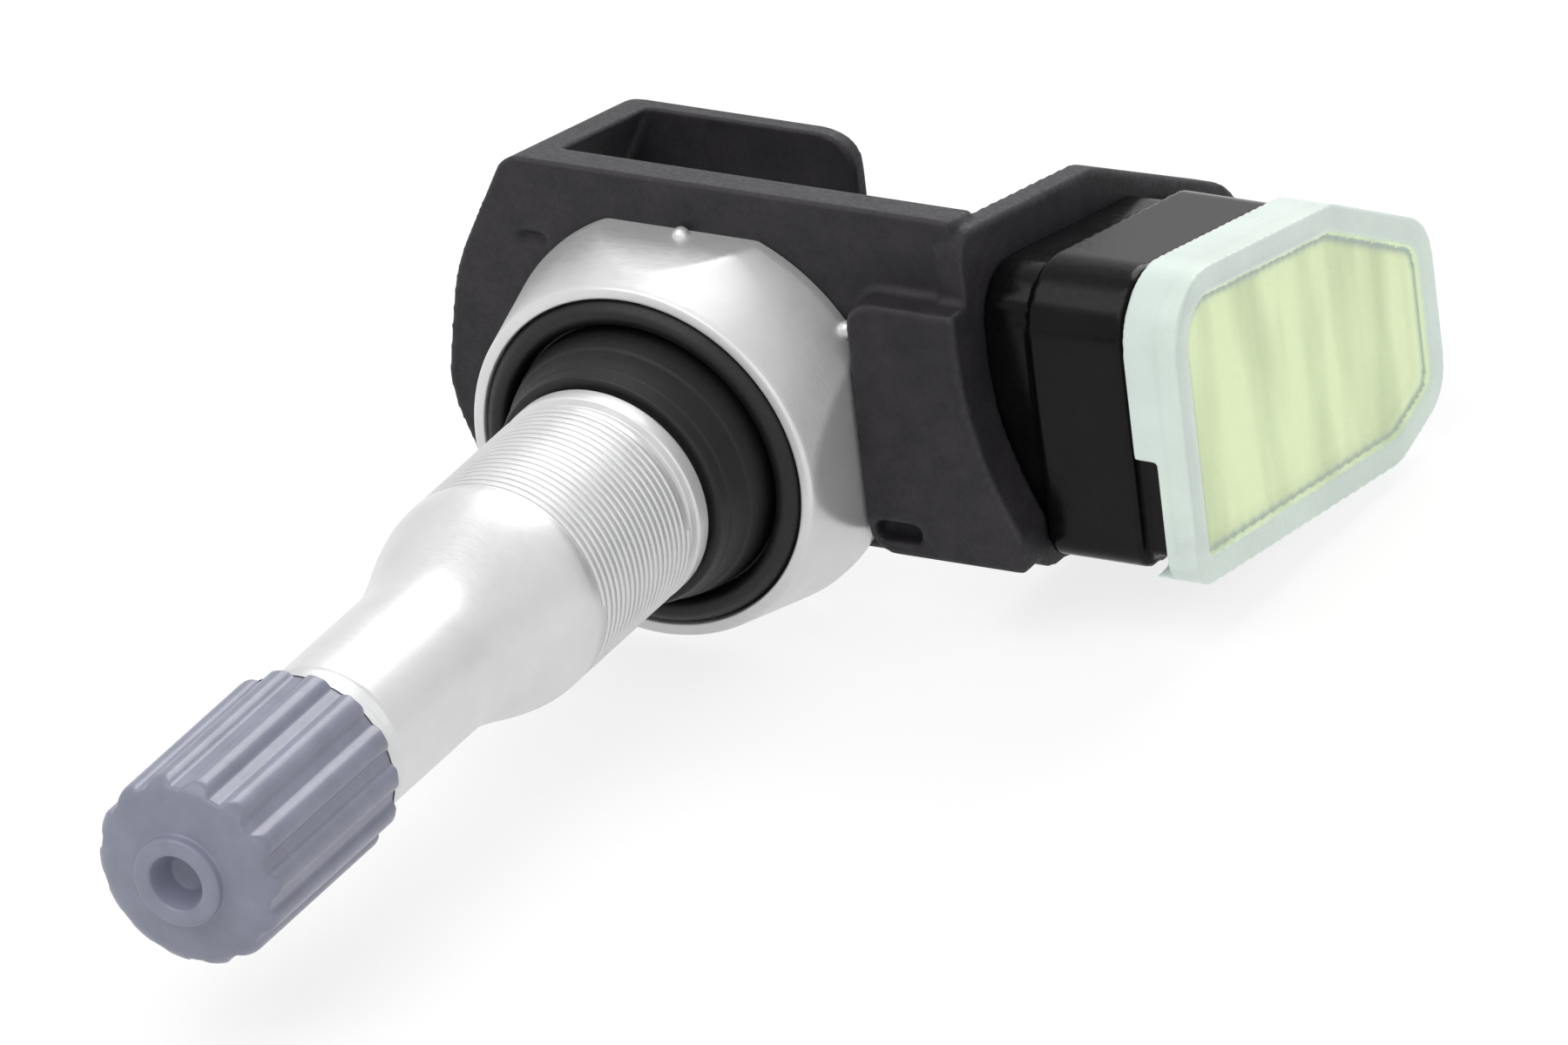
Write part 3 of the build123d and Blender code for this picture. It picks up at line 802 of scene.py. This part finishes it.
def thread_tree():
    """A ridge that winds round the stem axis, such as a thread."""
    tree = Tree("wound ridge")
    tree.takes("Float", "Root Radius", "Ridge Height", "Ridge Half Width", "Start", "Length", "Pitch")
    tree.takes("Int", "Steps per Turn")
    tree.takes("Material", "Material")
    tree.ready()
    inputs = tree.inputs
    turns = tree.sum("DIVIDE", inputs["Length"], inputs["Pitch"])
    path = tree.put("GeometryNodeCurveSpiral", {
        "Resolution": inputs["Steps per Turn"], "Rotations": turns, "Start Radius": inputs["Root Radius"],
        "End Radius": inputs["Root Radius"], "Height": inputs["Length"]})
    upright = tree.put("GeometryNodeSetCurveNormal", {"Curve": path.outputs[0]}, mode="Z_UP")
    section = tree.put("GeometryNodeCurvePrimitiveCircle", {"Resolution": 4, "Radius": 1.0})
    size = tree.put("ShaderNodeCombineXYZ", {
        "X": inputs["Ridge Height"], "Y": inputs["Ridge Half Width"], "Z": 1.0})
    sized = tree.put("GeometryNodeTransform", {"Geometry": section.outputs[0], "Scale": size.outputs[0]})
    ridge = tree.put("GeometryNodeCurveToMesh", {
        "Curve": upright.outputs[0], "Profile Curve": sized.outputs[0], "Fill Caps": True})
    place = tree.put("ShaderNodeCombineXYZ", {"Y": inputs["Start"]})
    laid = tree.put("GeometryNodeTransform", {
        "Geometry": ridge.outputs[0], "Translation": place.outputs[0], "Rotation": (-pi / 2, 0, 0)})
    tree.gives(laid.outputs[0])
    return tree


def rib_tree():
    """Presses grip ribs into the fluted rows of a round cap."""
    tree = Tree("grip ribs")
    tree.takes("Geometry", "Geometry")
    tree.takes("Int", "Ribs")
    tree.takes("Float", "Rim Radius", "Rib Radius", "Root Radius", "Blend")
    tree.takes("Material", "Material")
    tree.ready()
    inputs = tree.inputs
    here = tree.put("ShaderNodeSeparateXYZ", {0: tree.put("GeometryNodeInputPosition").outputs[0]}).outputs
    angle = tree.sum("ARCTAN2", here["Z"], here["X"])
    half = tree.sum("DIVIDE", pi, inputs["Ribs"])
    off = tree.sum("WRAP", angle, half, tree.sum("MULTIPLY", half, -1.0))
    ring = tree.sum("SUBTRACT", inputs["Rim Radius"], inputs["Rib Radius"])
    across = tree.sum("MULTIPLY", ring, tree.sum("SINE", off))
    out = tree.sum("MULTIPLY", ring, tree.sum("COSINE", off))
    left = tree.sum("SUBTRACT", tree.sum("POWER", inputs["Rib Radius"], 2.0), tree.sum("POWER", across, 2.0))
    rib = tree.sum("ADD", out, tree.sum("SQRT", tree.sum("MAXIMUM", left, 0.0)))
    fluted = tree.sum("SMOOTH_MAX", rib, inputs["Root Radius"], inputs["Blend"])
    squares = tree.sum("ADD", tree.sum("POWER", here["X"], 2.0), tree.sum("POWER", here["Z"], 2.0))
    plain = tree.sum("SQRT", squares)
    reach = tree.sum("SMOOTH_MIN", fluted, plain, inputs["Blend"])
    ratio = tree.sum("DIVIDE", reach, tree.sum("MAXIMUM", plain, 1e-6))
    weight = tree.put("GeometryNodeInputNamedAttribute", {"Name": "fluted"}, data_type="FLOAT").outputs[0]
    change = tree.sum("ADD", 1.0, tree.sum("MULTIPLY", weight, tree.sum("SUBTRACT", ratio, 1.0)))
    spot = tree.put("ShaderNodeCombineXYZ", {
        "X": tree.sum("MULTIPLY", here["X"], change), "Y": here["Y"],
        "Z": tree.sum("MULTIPLY", here["Z"], change)})
    moved = tree.put("GeometryNodeSetPosition", {"Geometry": inputs["Geometry"], "Position": spot.outputs[0]})
    tree.gives(moved.outputs[0])
    return tree


def nub_tree():
    """Small round nubs on the edge of the cup's flange."""
    tree = Tree("flange nubs")
    tree.takes("Float", "Ring Radius", "Flat Height", "Nub Radius", "Place", "First Angle", "Angle Step")
    tree.takes("Int", "Count")
    tree.takes("Material", "Material")
    tree.ready()
    inputs = tree.inputs
    spots = tree.put("GeometryNodePoints", {"Count": inputs["Count"]})
    index = tree.put("GeometryNodeInputIndex").outputs[0]
    angle = tree.sum("ADD", inputs["First Angle"], tree.sum("MULTIPLY", index, inputs["Angle Step"]))
    across = tree.sum("MULTIPLY", inputs["Ring Radius"], tree.sum("COSINE", angle))
    rise = tree.sum("MULTIPLY", inputs["Ring Radius"], tree.sum("SINE", angle))
    held = tree.sum("MINIMUM", rise, inputs["Flat Height"])
    spot = tree.put("ShaderNodeCombineXYZ", {"X": across, "Y": inputs["Place"], "Z": held})
    placed = tree.put("GeometryNodeSetPosition", {"Geometry": spots.outputs[0], "Position": spot.outputs[0]})
    nub = tree.put("GeometryNodeMeshUVSphere", {"Segments": 24, "Rings": 12, "Radius": inputs["Nub Radius"]})
    nubs = tree.put("GeometryNodeInstanceOnPoints", {
        "Points": placed.outputs[0], "Instance": nub.outputs[0]})
    tree.gives(nubs.outputs[0])
    return tree


def empty_piece(name):
    return new_piece(name, bpy.data.meshes.new(name))


def alloy_finish():
    colours = bpy.context.scene.sensor_colours
    return turned_finish("satin alloy", tuple(colours.alloy), spread=0.05, step=0.00016, rough=(0.30, 0.46),
                         strength=0.10, sockets={"Metallic": 0.45})


# Operators

class SENSOR_OT_stem(bpy.types.Operator):
    """Turns the valve stem and its cup, with groove, chamfers and flats"""
    bl_idname = "sensor.stem"
    bl_label = "Valve stem"

    def execute(self, context):
        neck_r, neck_y, barrel_r, barrel_y = STEM_SHOULDER
        shoulder = []
        for i in range(SHOULDER_STEPS + 1):
            t = i / SHOULDER_STEPS
            ease = t * t * (3 - 2 * t)
            shoulder.append((neck_r + (barrel_r - neck_r) * ease, neck_y + (barrel_y - neck_y) * t, 0))
        rim_r, rim_y, edge_r, edge_y = STEM_CONE
        cone = []
        for t in range(1, CONE_STEPS):
            radius = rim_r + (edge_r - rim_r) * t / CONE_STEPS
            cone.append((radius, rim_y + (edge_y - rim_y) * t / CONE_STEPS, 0))
        outline = list(STEM_OUTSIDE) + shoulder + list(STEM_BASE) + cone + list(STEM_BACK)
        mesh = turned_mesh("stem_turned", softened(outline, True), True, 2 * TURNED_SIDES)
        flat_x, flat_z = CUP_FLATS[0] * MM, CUP_FLATS[1] * MM
        for point in mesh.vertices:
            if point.co.y > CUP_FROM * MM:
                point.co.x = max(-flat_x, min(flat_x, point.co.x))
                point.co.z = max(-flat_z, min(flat_z, point.co.z))
        piece = new_piece("stem_turned", mesh, sharp=30)
        dress(piece, [alloy_finish()], "sensor", ["valve_stem"])
        return {"FINISHED"}


class SENSOR_OT_threads(bpy.types.Operator):
    """Winds the threads of the barrel and the tip"""
    bl_idname = "sensor.threads"
    bl_label = "Stem threads"

    def execute(self, context):
        sizes = context.scene.sensor_stem
        tree = thread_tree()
        finish = bpy.data.materials["satin alloy"]
        threads = (
            ("barrel_thread", BARREL_THREAD, sizes.barrel_ridge, sizes.barrel_pitch),
            ("tip_thread", TIP_THREAD, sizes.tip_ridge, sizes.tip_pitch))
        for name, (root, start, length, steps), ridge, pitch in threads:
            piece = tree.run(empty_piece(name), {
                "Root Radius": root * MM, "Ridge Height": ridge, "Ridge Half Width": pitch * RIDGE_SHARE,
                "Start": start * MM, "Length": length * MM, "Pitch": pitch, "Steps per Turn": steps,
                "Material": finish})
            dress(piece, [finish], "sensor")
        return {"FINISHED"}


class SENSOR_OT_nubs(bpy.types.Operator):
    """Sets the small round nubs on the flange's edge"""
    bl_idname = "sensor.nubs"
    bl_label = "Flange nubs"

    def execute(self, context):
        sizes = context.scene.sensor_stem
        finish = bpy.data.materials["satin alloy"]
        piece = nub_tree().run(empty_piece("flange_nubs"), {
            "Ring Radius": sizes.nub_ring, "Flat Height": NUB_HEIGHT * MM, "Nub Radius": sizes.nub_radius,
            "Place": NUB_PLACE * MM, "Count": NUB_COUNT, "First Angle": radians(NUB_FIRST),
            "Angle Step": radians(NUB_STEP), "Material": finish})
        piece.data.shade_smooth()
        dress(piece, [finish], "sensor")
        return {"FINISHED"}


class SENSOR_OT_grommet(bpy.types.Operator):
    """Turns the stepped rubber grommet"""
    bl_idname = "sensor.grommet"
    bl_label = "Rim grommet"

    def execute(self, context):
        colours = context.scene.sensor_colours
        mesh = turned_mesh("grommet_rings", softened(GROMMET, True), True, TURNED_SIDES)
        piece = new_piece("grommet_rings", mesh, sharp=40)
        finish = moulded_finish("black rubber", tuple(colours.rubber), spread=0.30, spot=0.0015, grain=0.00012,
                                rough=(0.40, 0.56), depth=0.00002, strength=0.22,
                                sockets={"Specular IOR Level": 0.42})
        dress(piece, [finish], "sensor", ["rim_grommet"])
        for node in ("port_seal", "core_gasket", "poppet_seal", "cap_seal"):
            paint_node(node, finish)
        return {"FINISHED"}


class SENSOR_OT_cap(bpy.types.Operator):
    """Turns the dust cap and presses its grip ribs"""
    bl_idname = "sensor.cap"
    bl_label = "Dust cap"

    def execute(self, context):
        sizes = context.scene.sensor_cap
        colours = context.scene.sensor_colours
        rim, rear, edge = CAP_OUTSIDE
        dome_r, dome_y = CAP_DOME
        wall = [(rim - inset, rear - ahead, 0) for inset, ahead in CAP_LIP]
        for t in range(CAP_WALL_STEPS + 1):
            wall.append((rim, rear - CAP_WALL_FROM + (edge - rear + CAP_WALL_FROM) * t / CAP_WALL_STEPS, 0))
        dome = []
        for i in range(1, CAP_DOME_STEPS):
            turn = pi / 2 * i / CAP_DOME_STEPS
            dome.append((dome_r + (rim - dome_r) * cos(turn), edge + (dome_y - edge) * sin(turn), 0))
        inside = softened(CAP_INSIDE, False)
        outside = [(r * MM, y * MM) for r, y, soft in wall + dome]
        boss = softened(CAP_BOSS, False)
        sides = sizes.ribs * SIDES_PER_RIB
        mesh = turned_mesh("cap_fluted", inside + outside + boss, False, sides)
        fluted = mesh.attributes.new("fluted", "FLOAT", "POINT")
        start = 1 + sides * (len(inside) - 1)
        for i in range(start, start + sides * len(outside)):
            fluted.data[i].value = 1.0
        finish = moulded_finish("cap plastic", tuple(colours.cap), spread=0.09, spot=0.0020, grain=0.00016,
                                rough=(0.30, 0.42), depth=0.00002, strength=0.18,
                                sockets={"Specular IOR Level": 0.5, "Coat Weight": 0.15})
        piece = rib_tree().run(new_piece("cap_fluted", mesh, sharp=40), {
            "Ribs": sizes.ribs, "Rim Radius": rim * MM, "Rib Radius": sizes.rib_radius,
            "Root Radius": sizes.root_radius, "Blend": RIB_BLEND, "Material": finish})
        piece.data.shade_smooth()
        piece.data.set_sharp_from_angle(angle=radians(48))
        dress(piece, [finish], "cap", ["valve_cap"])
        return {"FINISHED"}


class SENSOR_OT_bracket(bpy.types.Operator):
    """Rounds the edges of the moulded bracket"""
    bl_idname = "sensor.bracket"
    bl_label = "Bracket"

    def execute(self, context):
        colours = context.scene.sensor_colours
        sizes = context.scene.sensor_moulded
        piece = moulded_copy("bracket", "bracket_moulded", sizes.grid, sizes.bracket_softness)
        # The rounded edges get a painted highlight in the paler edge colour
        body = moulded_finish("charcoal nylon", tuple(colours.bracket), spread=0.28, spot=0.0018, grain=0.00022,
                              rough=(0.50, 0.68), depth=0.00005, strength=0.35,
                              sockets={"Specular IOR Level": 0.35}, drift_and_edge_highlight=tuple(colours.bracket_edge_highlight))
        dress(piece, [body], "sensor", ["bracket"])
        return {"FINISHED"}


class SENSOR_OT_case(bpy.types.Operator):
    """Rounds the edges of the glossy case"""
    bl_idname = "sensor.case"
    bl_label = "Electronics case"

    def execute(self, context):
        colours = context.scene.sensor_colours
        sizes = context.scene.sensor_moulded
        piece = moulded_copy("electronics_case", "case_moulded", sizes.grid, sizes.case_softness)
        # The rounded edges get a painted reflection, the black made three times paler
        body = moulded_finish("gloss black case", tuple(colours.case), spread=0.35, spot=0.0022, grain=0.00030,
                              rough=(0.14, 0.26), depth=0.00001, strength=0.08,
                              sockets={"Specular IOR Level": 0.16}, drift_and_edge_highlight=shaded(colours.case, 3.0))
        dress(piece, [body], "sensor", ["electronics_case"])
        return {"FINISHED"}


class SENSOR_OT_cover(bpy.types.Operator):
    """Rounds the edges of the end cover and marks its window"""
    bl_idname = "sensor.cover"
    bl_label = "End cover"

    def execute(self, context):
        colours = context.scene.sensor_colours
        sizes = context.scene.sensor_moulded
        piece = moulded_copy("end_cover", "cover_moulded", sizes.cover_grid, sizes.cover_softness)
        mark_window(piece.data)
        dress(piece, [cover_finish(colours)], "sensor", ["end_cover"])
        return {"FINISHED"}


class SENSOR_OT_screw(bpy.types.Operator):
    """Rounds the edges of the hollow clamping screw"""
    bl_idname = "sensor.screw"
    bl_label = "Clamping screw"

    def execute(self, context):
        colours = context.scene.sensor_colours
        piece = edged_copy("stem_screw", "screw_turned", context.scene.sensor_moulded.screw_edge)
        body = turned_finish("plated screw steel", tuple(colours.steel), spread=0.18, step=0.00022,
                             rough=(0.28, 0.42), strength=0.12)
        # Painted highlight: a paler copy of the screw's steel on its rounded edges
        edge = turned_finish("painted screw edge highlight", shaded(colours.steel, 1.2), spread=0.10, step=0.00022,
                             rough=(0.22, 0.34), strength=0.10)
        dress(piece, [body, edge], "sensor", ["stem_screw"])
        return {"FINISHED"}


def paint_node(node, finish):
    """Gives a carried-over node its finish."""
    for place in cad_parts[node].material_slots:
        place.material = finish


class SENSOR_OT_core(bpy.types.Operator):
    """Finishes the valve core's brass and sets its spring"""
    bl_idname = "sensor.core"
    bl_label = "Valve core"

    def execute(self, context):
        colours = context.scene.sensor_colours
        brass = turned_finish("core brass", tuple(colours.brass), spread=0.20, step=0.00020,
                              rough=(0.26, 0.40), strength=0.16)
        spring = turned_finish("spring steel", shaded(colours.steel, 0.9), spread=0.22, step=0.00012,
                               rough=(0.22, 0.36), strength=0.08)
        for node in ("core_plug", "core_barrel", "core_pin"):
            paint_node(node, brass)
        piece = new_piece("spring_wound", merged_mesh("core_spring", "spring_wound"))
        dress(piece, [spring], "sensor", ["core_spring"])
        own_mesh(piece)
        return {"FINISHED"}


class SENSOR_OT_electronics(bpy.types.Operator):
    """Finishes the board, the cell and the parts in the case"""
    bl_idname = "sensor.electronics"
    bl_label = "Electronics"

    def execute(self, context):
        colours = context.scene.sensor_colours
        paint_node("circuit_board", board_finish("board lacquer", tuple(colours.board)))
        cell = turned_finish("cell steel", tuple(colours.steel), spread=0.12, step=0.00030,
                             rough=(0.20, 0.32), strength=0.06)
        paint_node("battery_cell", cell)
        strip = turned_finish("nickel strip", shaded(colours.steel, 1.12), spread=0.14, step=0.00040,
                              rough=(0.26, 0.40), strength=0.06)
        for node in ("battery_tab_plus", "battery_tab_minus", "crystal_can"):
            paint_node(node, strip)
        package = moulded_finish("chip package", (0.018, 0.018, 0.020), spread=0.25, spot=0.0012, grain=0.00012,
                                 rough=(0.44, 0.60), depth=0.00001, strength=0.2,
                                 sockets={"Specular IOR Level": 0.4})
        for node in ("pressure_chip", "chip_parts"):
            paint_node(node, package)
        ferrite = moulded_finish("ferrite", (0.045, 0.043, 0.045), spread=0.3, spot=0.0008, grain=0.00010,
                                 rough=(0.50, 0.68), depth=0.00002, strength=0.3, sockets={})
        paint_node("coil_core", ferrite)
        winding = wound_finish("copper turns", (0.74, 0.33, 0.13), along="Y", step=0.00018, rough=(0.24, 0.38))
        paint_node("coil_winding", winding)
        loop = wound_finish("antenna copper", (0.76, 0.38, 0.18), along="DIAGONAL", step=0.00060,
                            rough=(0.26, 0.40))
        paint_node("antenna_loop", loop)
        resin = resin_finish("potting resin", tuple(colours.potting), spread=0.22, stretch=(1, 1.0, 0.22),
                             spot=0.0030, rough=(0.16, 0.30), sockets={"Coat Weight": 0.2})
        paint_node("potting", resin)
        return {"FINISHED"}


class SENSOR_OT_stage(bpy.types.Operator):
    """Sets the pale floor, the lamps, the sky and the camera"""
    bl_idname = "sensor.stage"
    bl_label = "Stage"

    def execute(self, context):
        scene = context.scene
        stage = scene.sensor_stage
        low, high = cad_box
        middle = (Vector(low) + Vector(high)) / 2
        self.floor(scene, stage, low[2], middle)
        self.sky(scene, stage)
        self.lamp(scene, "key lamp", stage.key_power, KEY_LAMP, middle)
        self.lamp(scene, "rear lamp", stage.rear_power, REAR_LAMP, middle)
        self.lamp(scene, "fill lamp", stage.fill_power, FILL_LAMP, middle)
        self.camera(scene, stage)
        scene.view_settings.view_transform = "Standard"
        return {"FINISHED"}

    def seen_by(self, tree):
        """1 where the camera, a reflection or a clear piece sees it."""
        path = tree.nodes.new("ShaderNodeLightPath")
        seen = path.outputs["Is Camera Ray"]
        for ray in ("Is Glossy Ray", "Is Transmission Ray"):
            either = tree.nodes.new("ShaderNodeMath")
            either.operation = "MAXIMUM"
            tree.links.new(seen, either.inputs[0])
            tree.links.new(path.outputs[ray], either.inputs[1])
            seen = either.outputs[0]
        return seen

    def floor(self, scene, stage, level, middle):
        half = stage.floor_size / 2
        mesh = bpy.data.meshes.new("floor")
        corners = [(middle.x + sx * half, middle.y + sy * half, level - FLOOR_DROP)
                   for sx, sy in ((-1, -1), (1, -1), (1, 1), (-1, 1))]
        mesh.from_pydata(corners, [], [(0, 1, 2, 3)])
        floor = bpy.data.objects.new("floor", mesh)
        scene.collection.objects.link(floor)
        finish = bpy.data.materials.new("pale floor")
        finish.use_nodes = True
        tree = finish.node_tree
        tree.nodes.clear()
        out = tree.nodes.new("ShaderNodeOutputMaterial")
        bounce = tree.nodes.new("ShaderNodeBsdfDiffuse")
        bounce.inputs["Color"].default_value = (FLOOR_BOUNCE, FLOOR_BOUNCE, FLOOR_BOUNCE, 1)
        shadow = tree.nodes.new("ShaderNodeBsdfDiffuse")
        shadow.inputs["Color"].default_value = (FLOOR_SHADE, FLOOR_SHADE, FLOOR_SHADE, 1)
        glow = tree.nodes.new("ShaderNodeEmission")
        glow.inputs["Strength"].default_value = FLOOR_GLOW
        both = tree.nodes.new("ShaderNodeAddShader")
        tree.links.new(shadow.outputs[0], both.inputs[0])
        tree.links.new(glow.outputs[0], both.inputs[1])
        mix = tree.nodes.new("ShaderNodeMixShader")
        tree.links.new(self.seen_by(tree), mix.inputs[0])
        tree.links.new(bounce.outputs[0], mix.inputs[1])
        tree.links.new(both.outputs[0], mix.inputs[2])
        tree.links.new(mix.outputs[0], out.inputs["Surface"])
        mesh.materials.append(finish)

    def sky(self, scene, stage):
        world = bpy.data.worlds.new("studio")
        scene.world = world
        world.use_nodes = True
        tree = world.node_tree
        tree.nodes.clear()
        out = tree.nodes.new("ShaderNodeOutputWorld")
        even = tree.nodes.new("ShaderNodeBackground")
        even.inputs["Strength"].default_value = stage.sky
        white = tree.nodes.new("ShaderNodeBackground")
        white.inputs["Strength"].default_value = 1.0
        mix = tree.nodes.new("ShaderNodeMixShader")
        tree.links.new(self.seen_by(tree), mix.inputs[0])
        tree.links.new(even.outputs[0], mix.inputs[1])
        tree.links.new(white.outputs[0], mix.inputs[2])
        tree.links.new(mix.outputs[0], out.inputs["Surface"])

    def lamp(self, scene, name, power, setting, target):
        size, offset = setting
        place = target + Vector(offset)
        light = bpy.data.lights.new(name, "AREA")
        light.energy = power
        light.size = size
        lamp = bpy.data.objects.new(name, light)
        lamp.location = place
        lamp.rotation_euler = (target - place).to_track_quat("-Z", "Y").to_euler()
        scene.collection.objects.link(lamp)

    def camera(self, scene, stage):
        right = Vector(VIEW_RIGHT).normalized()
        up = Vector(VIEW_UP)
        up = (up - right * up.dot(right)).normalized()
        back = right.cross(up)
        pixels = stage.lens / FILM_WIDTH * PICTURE_WIDTH
        distance = pixels / PIXELS_PER_MM * MM
        left, above = RIM_CENTRE_OFF
        target = Vector(RIM_CENTRE) * MM
        target = target + right * (left / PIXELS_PER_MM * MM) - up * (above / PIXELS_PER_MM * MM)
        data = bpy.data.cameras.new("camera")
        data.lens = stage.lens
        data.sensor_width = FILM_WIDTH
        data.clip_end = CAMERA_REACH
        camera = bpy.data.objects.new("camera", data)
        turn = Matrix((right, up, back)).transposed().to_4x4()
        camera.matrix_world = Matrix.Translation(target + back * distance) @ turn
        scene.collection.objects.link(camera)
        scene.camera = camera


STEPS = (
    SENSOR_OT_stem, SENSOR_OT_threads, SENSOR_OT_nubs, SENSOR_OT_grommet, SENSOR_OT_cap, SENSOR_OT_bracket,
    SENSOR_OT_case, SENSOR_OT_cover, SENSOR_OT_screw, SENSOR_OT_core, SENSOR_OT_electronics, SENSOR_OT_stage,
)
GROUPS = {
    "sensor_stem": StemSizes, "sensor_cap": CapSizes, "sensor_moulded": MouldedSizes,
    "sensor_colours": FinishColours, "sensor_stage": StageSettings,
}


class SENSOR_PT_panel(bpy.types.Panel):
    """Lists the sensor's pieces, sizes and colours"""
    bl_idname = "SENSOR_PT_panel"
    bl_label = "Tyre pressure sensor"
    bl_space_type = "VIEW_3D"
    bl_region_type = "UI"
    bl_category = "Sensor"

    def draw(self, context):
        for step in STEPS:
            self.layout.operator(step.bl_idname)
        for name in GROUPS:
            group = getattr(context.scene, name)
            box = self.layout.box()
            for prop in group.__annotations__:
                box.prop(group, prop)


def register():
    for name, group in GROUPS.items():
        bpy.utils.register_class(group)
        setattr(bpy.types.Scene, name, PointerProperty(type=group))
    for step in STEPS:
        bpy.utils.register_class(step)
    bpy.utils.register_class(SENSOR_PT_panel)


def unregister():
    bpy.utils.unregister_class(SENSOR_PT_panel)
    for step in reversed(STEPS):
        bpy.utils.unregister_class(step)
    for name, group in GROUPS.items():
        delattr(bpy.types.Scene, name)
        bpy.utils.unregister_class(group)


def main():
    register()
    bpy.ops.sensor.stem()
    bpy.ops.sensor.threads()
    bpy.ops.sensor.nubs()
    bpy.ops.sensor.grommet()
    bpy.ops.sensor.cap()
    bpy.ops.sensor.bracket()
    bpy.ops.sensor.case()
    bpy.ops.sensor.cover()
    bpy.ops.sensor.screw()
    bpy.ops.sensor.core()
    bpy.ops.sensor.electronics()
    bpy.ops.sensor.stage()


if __name__ == "__main__":
    main()
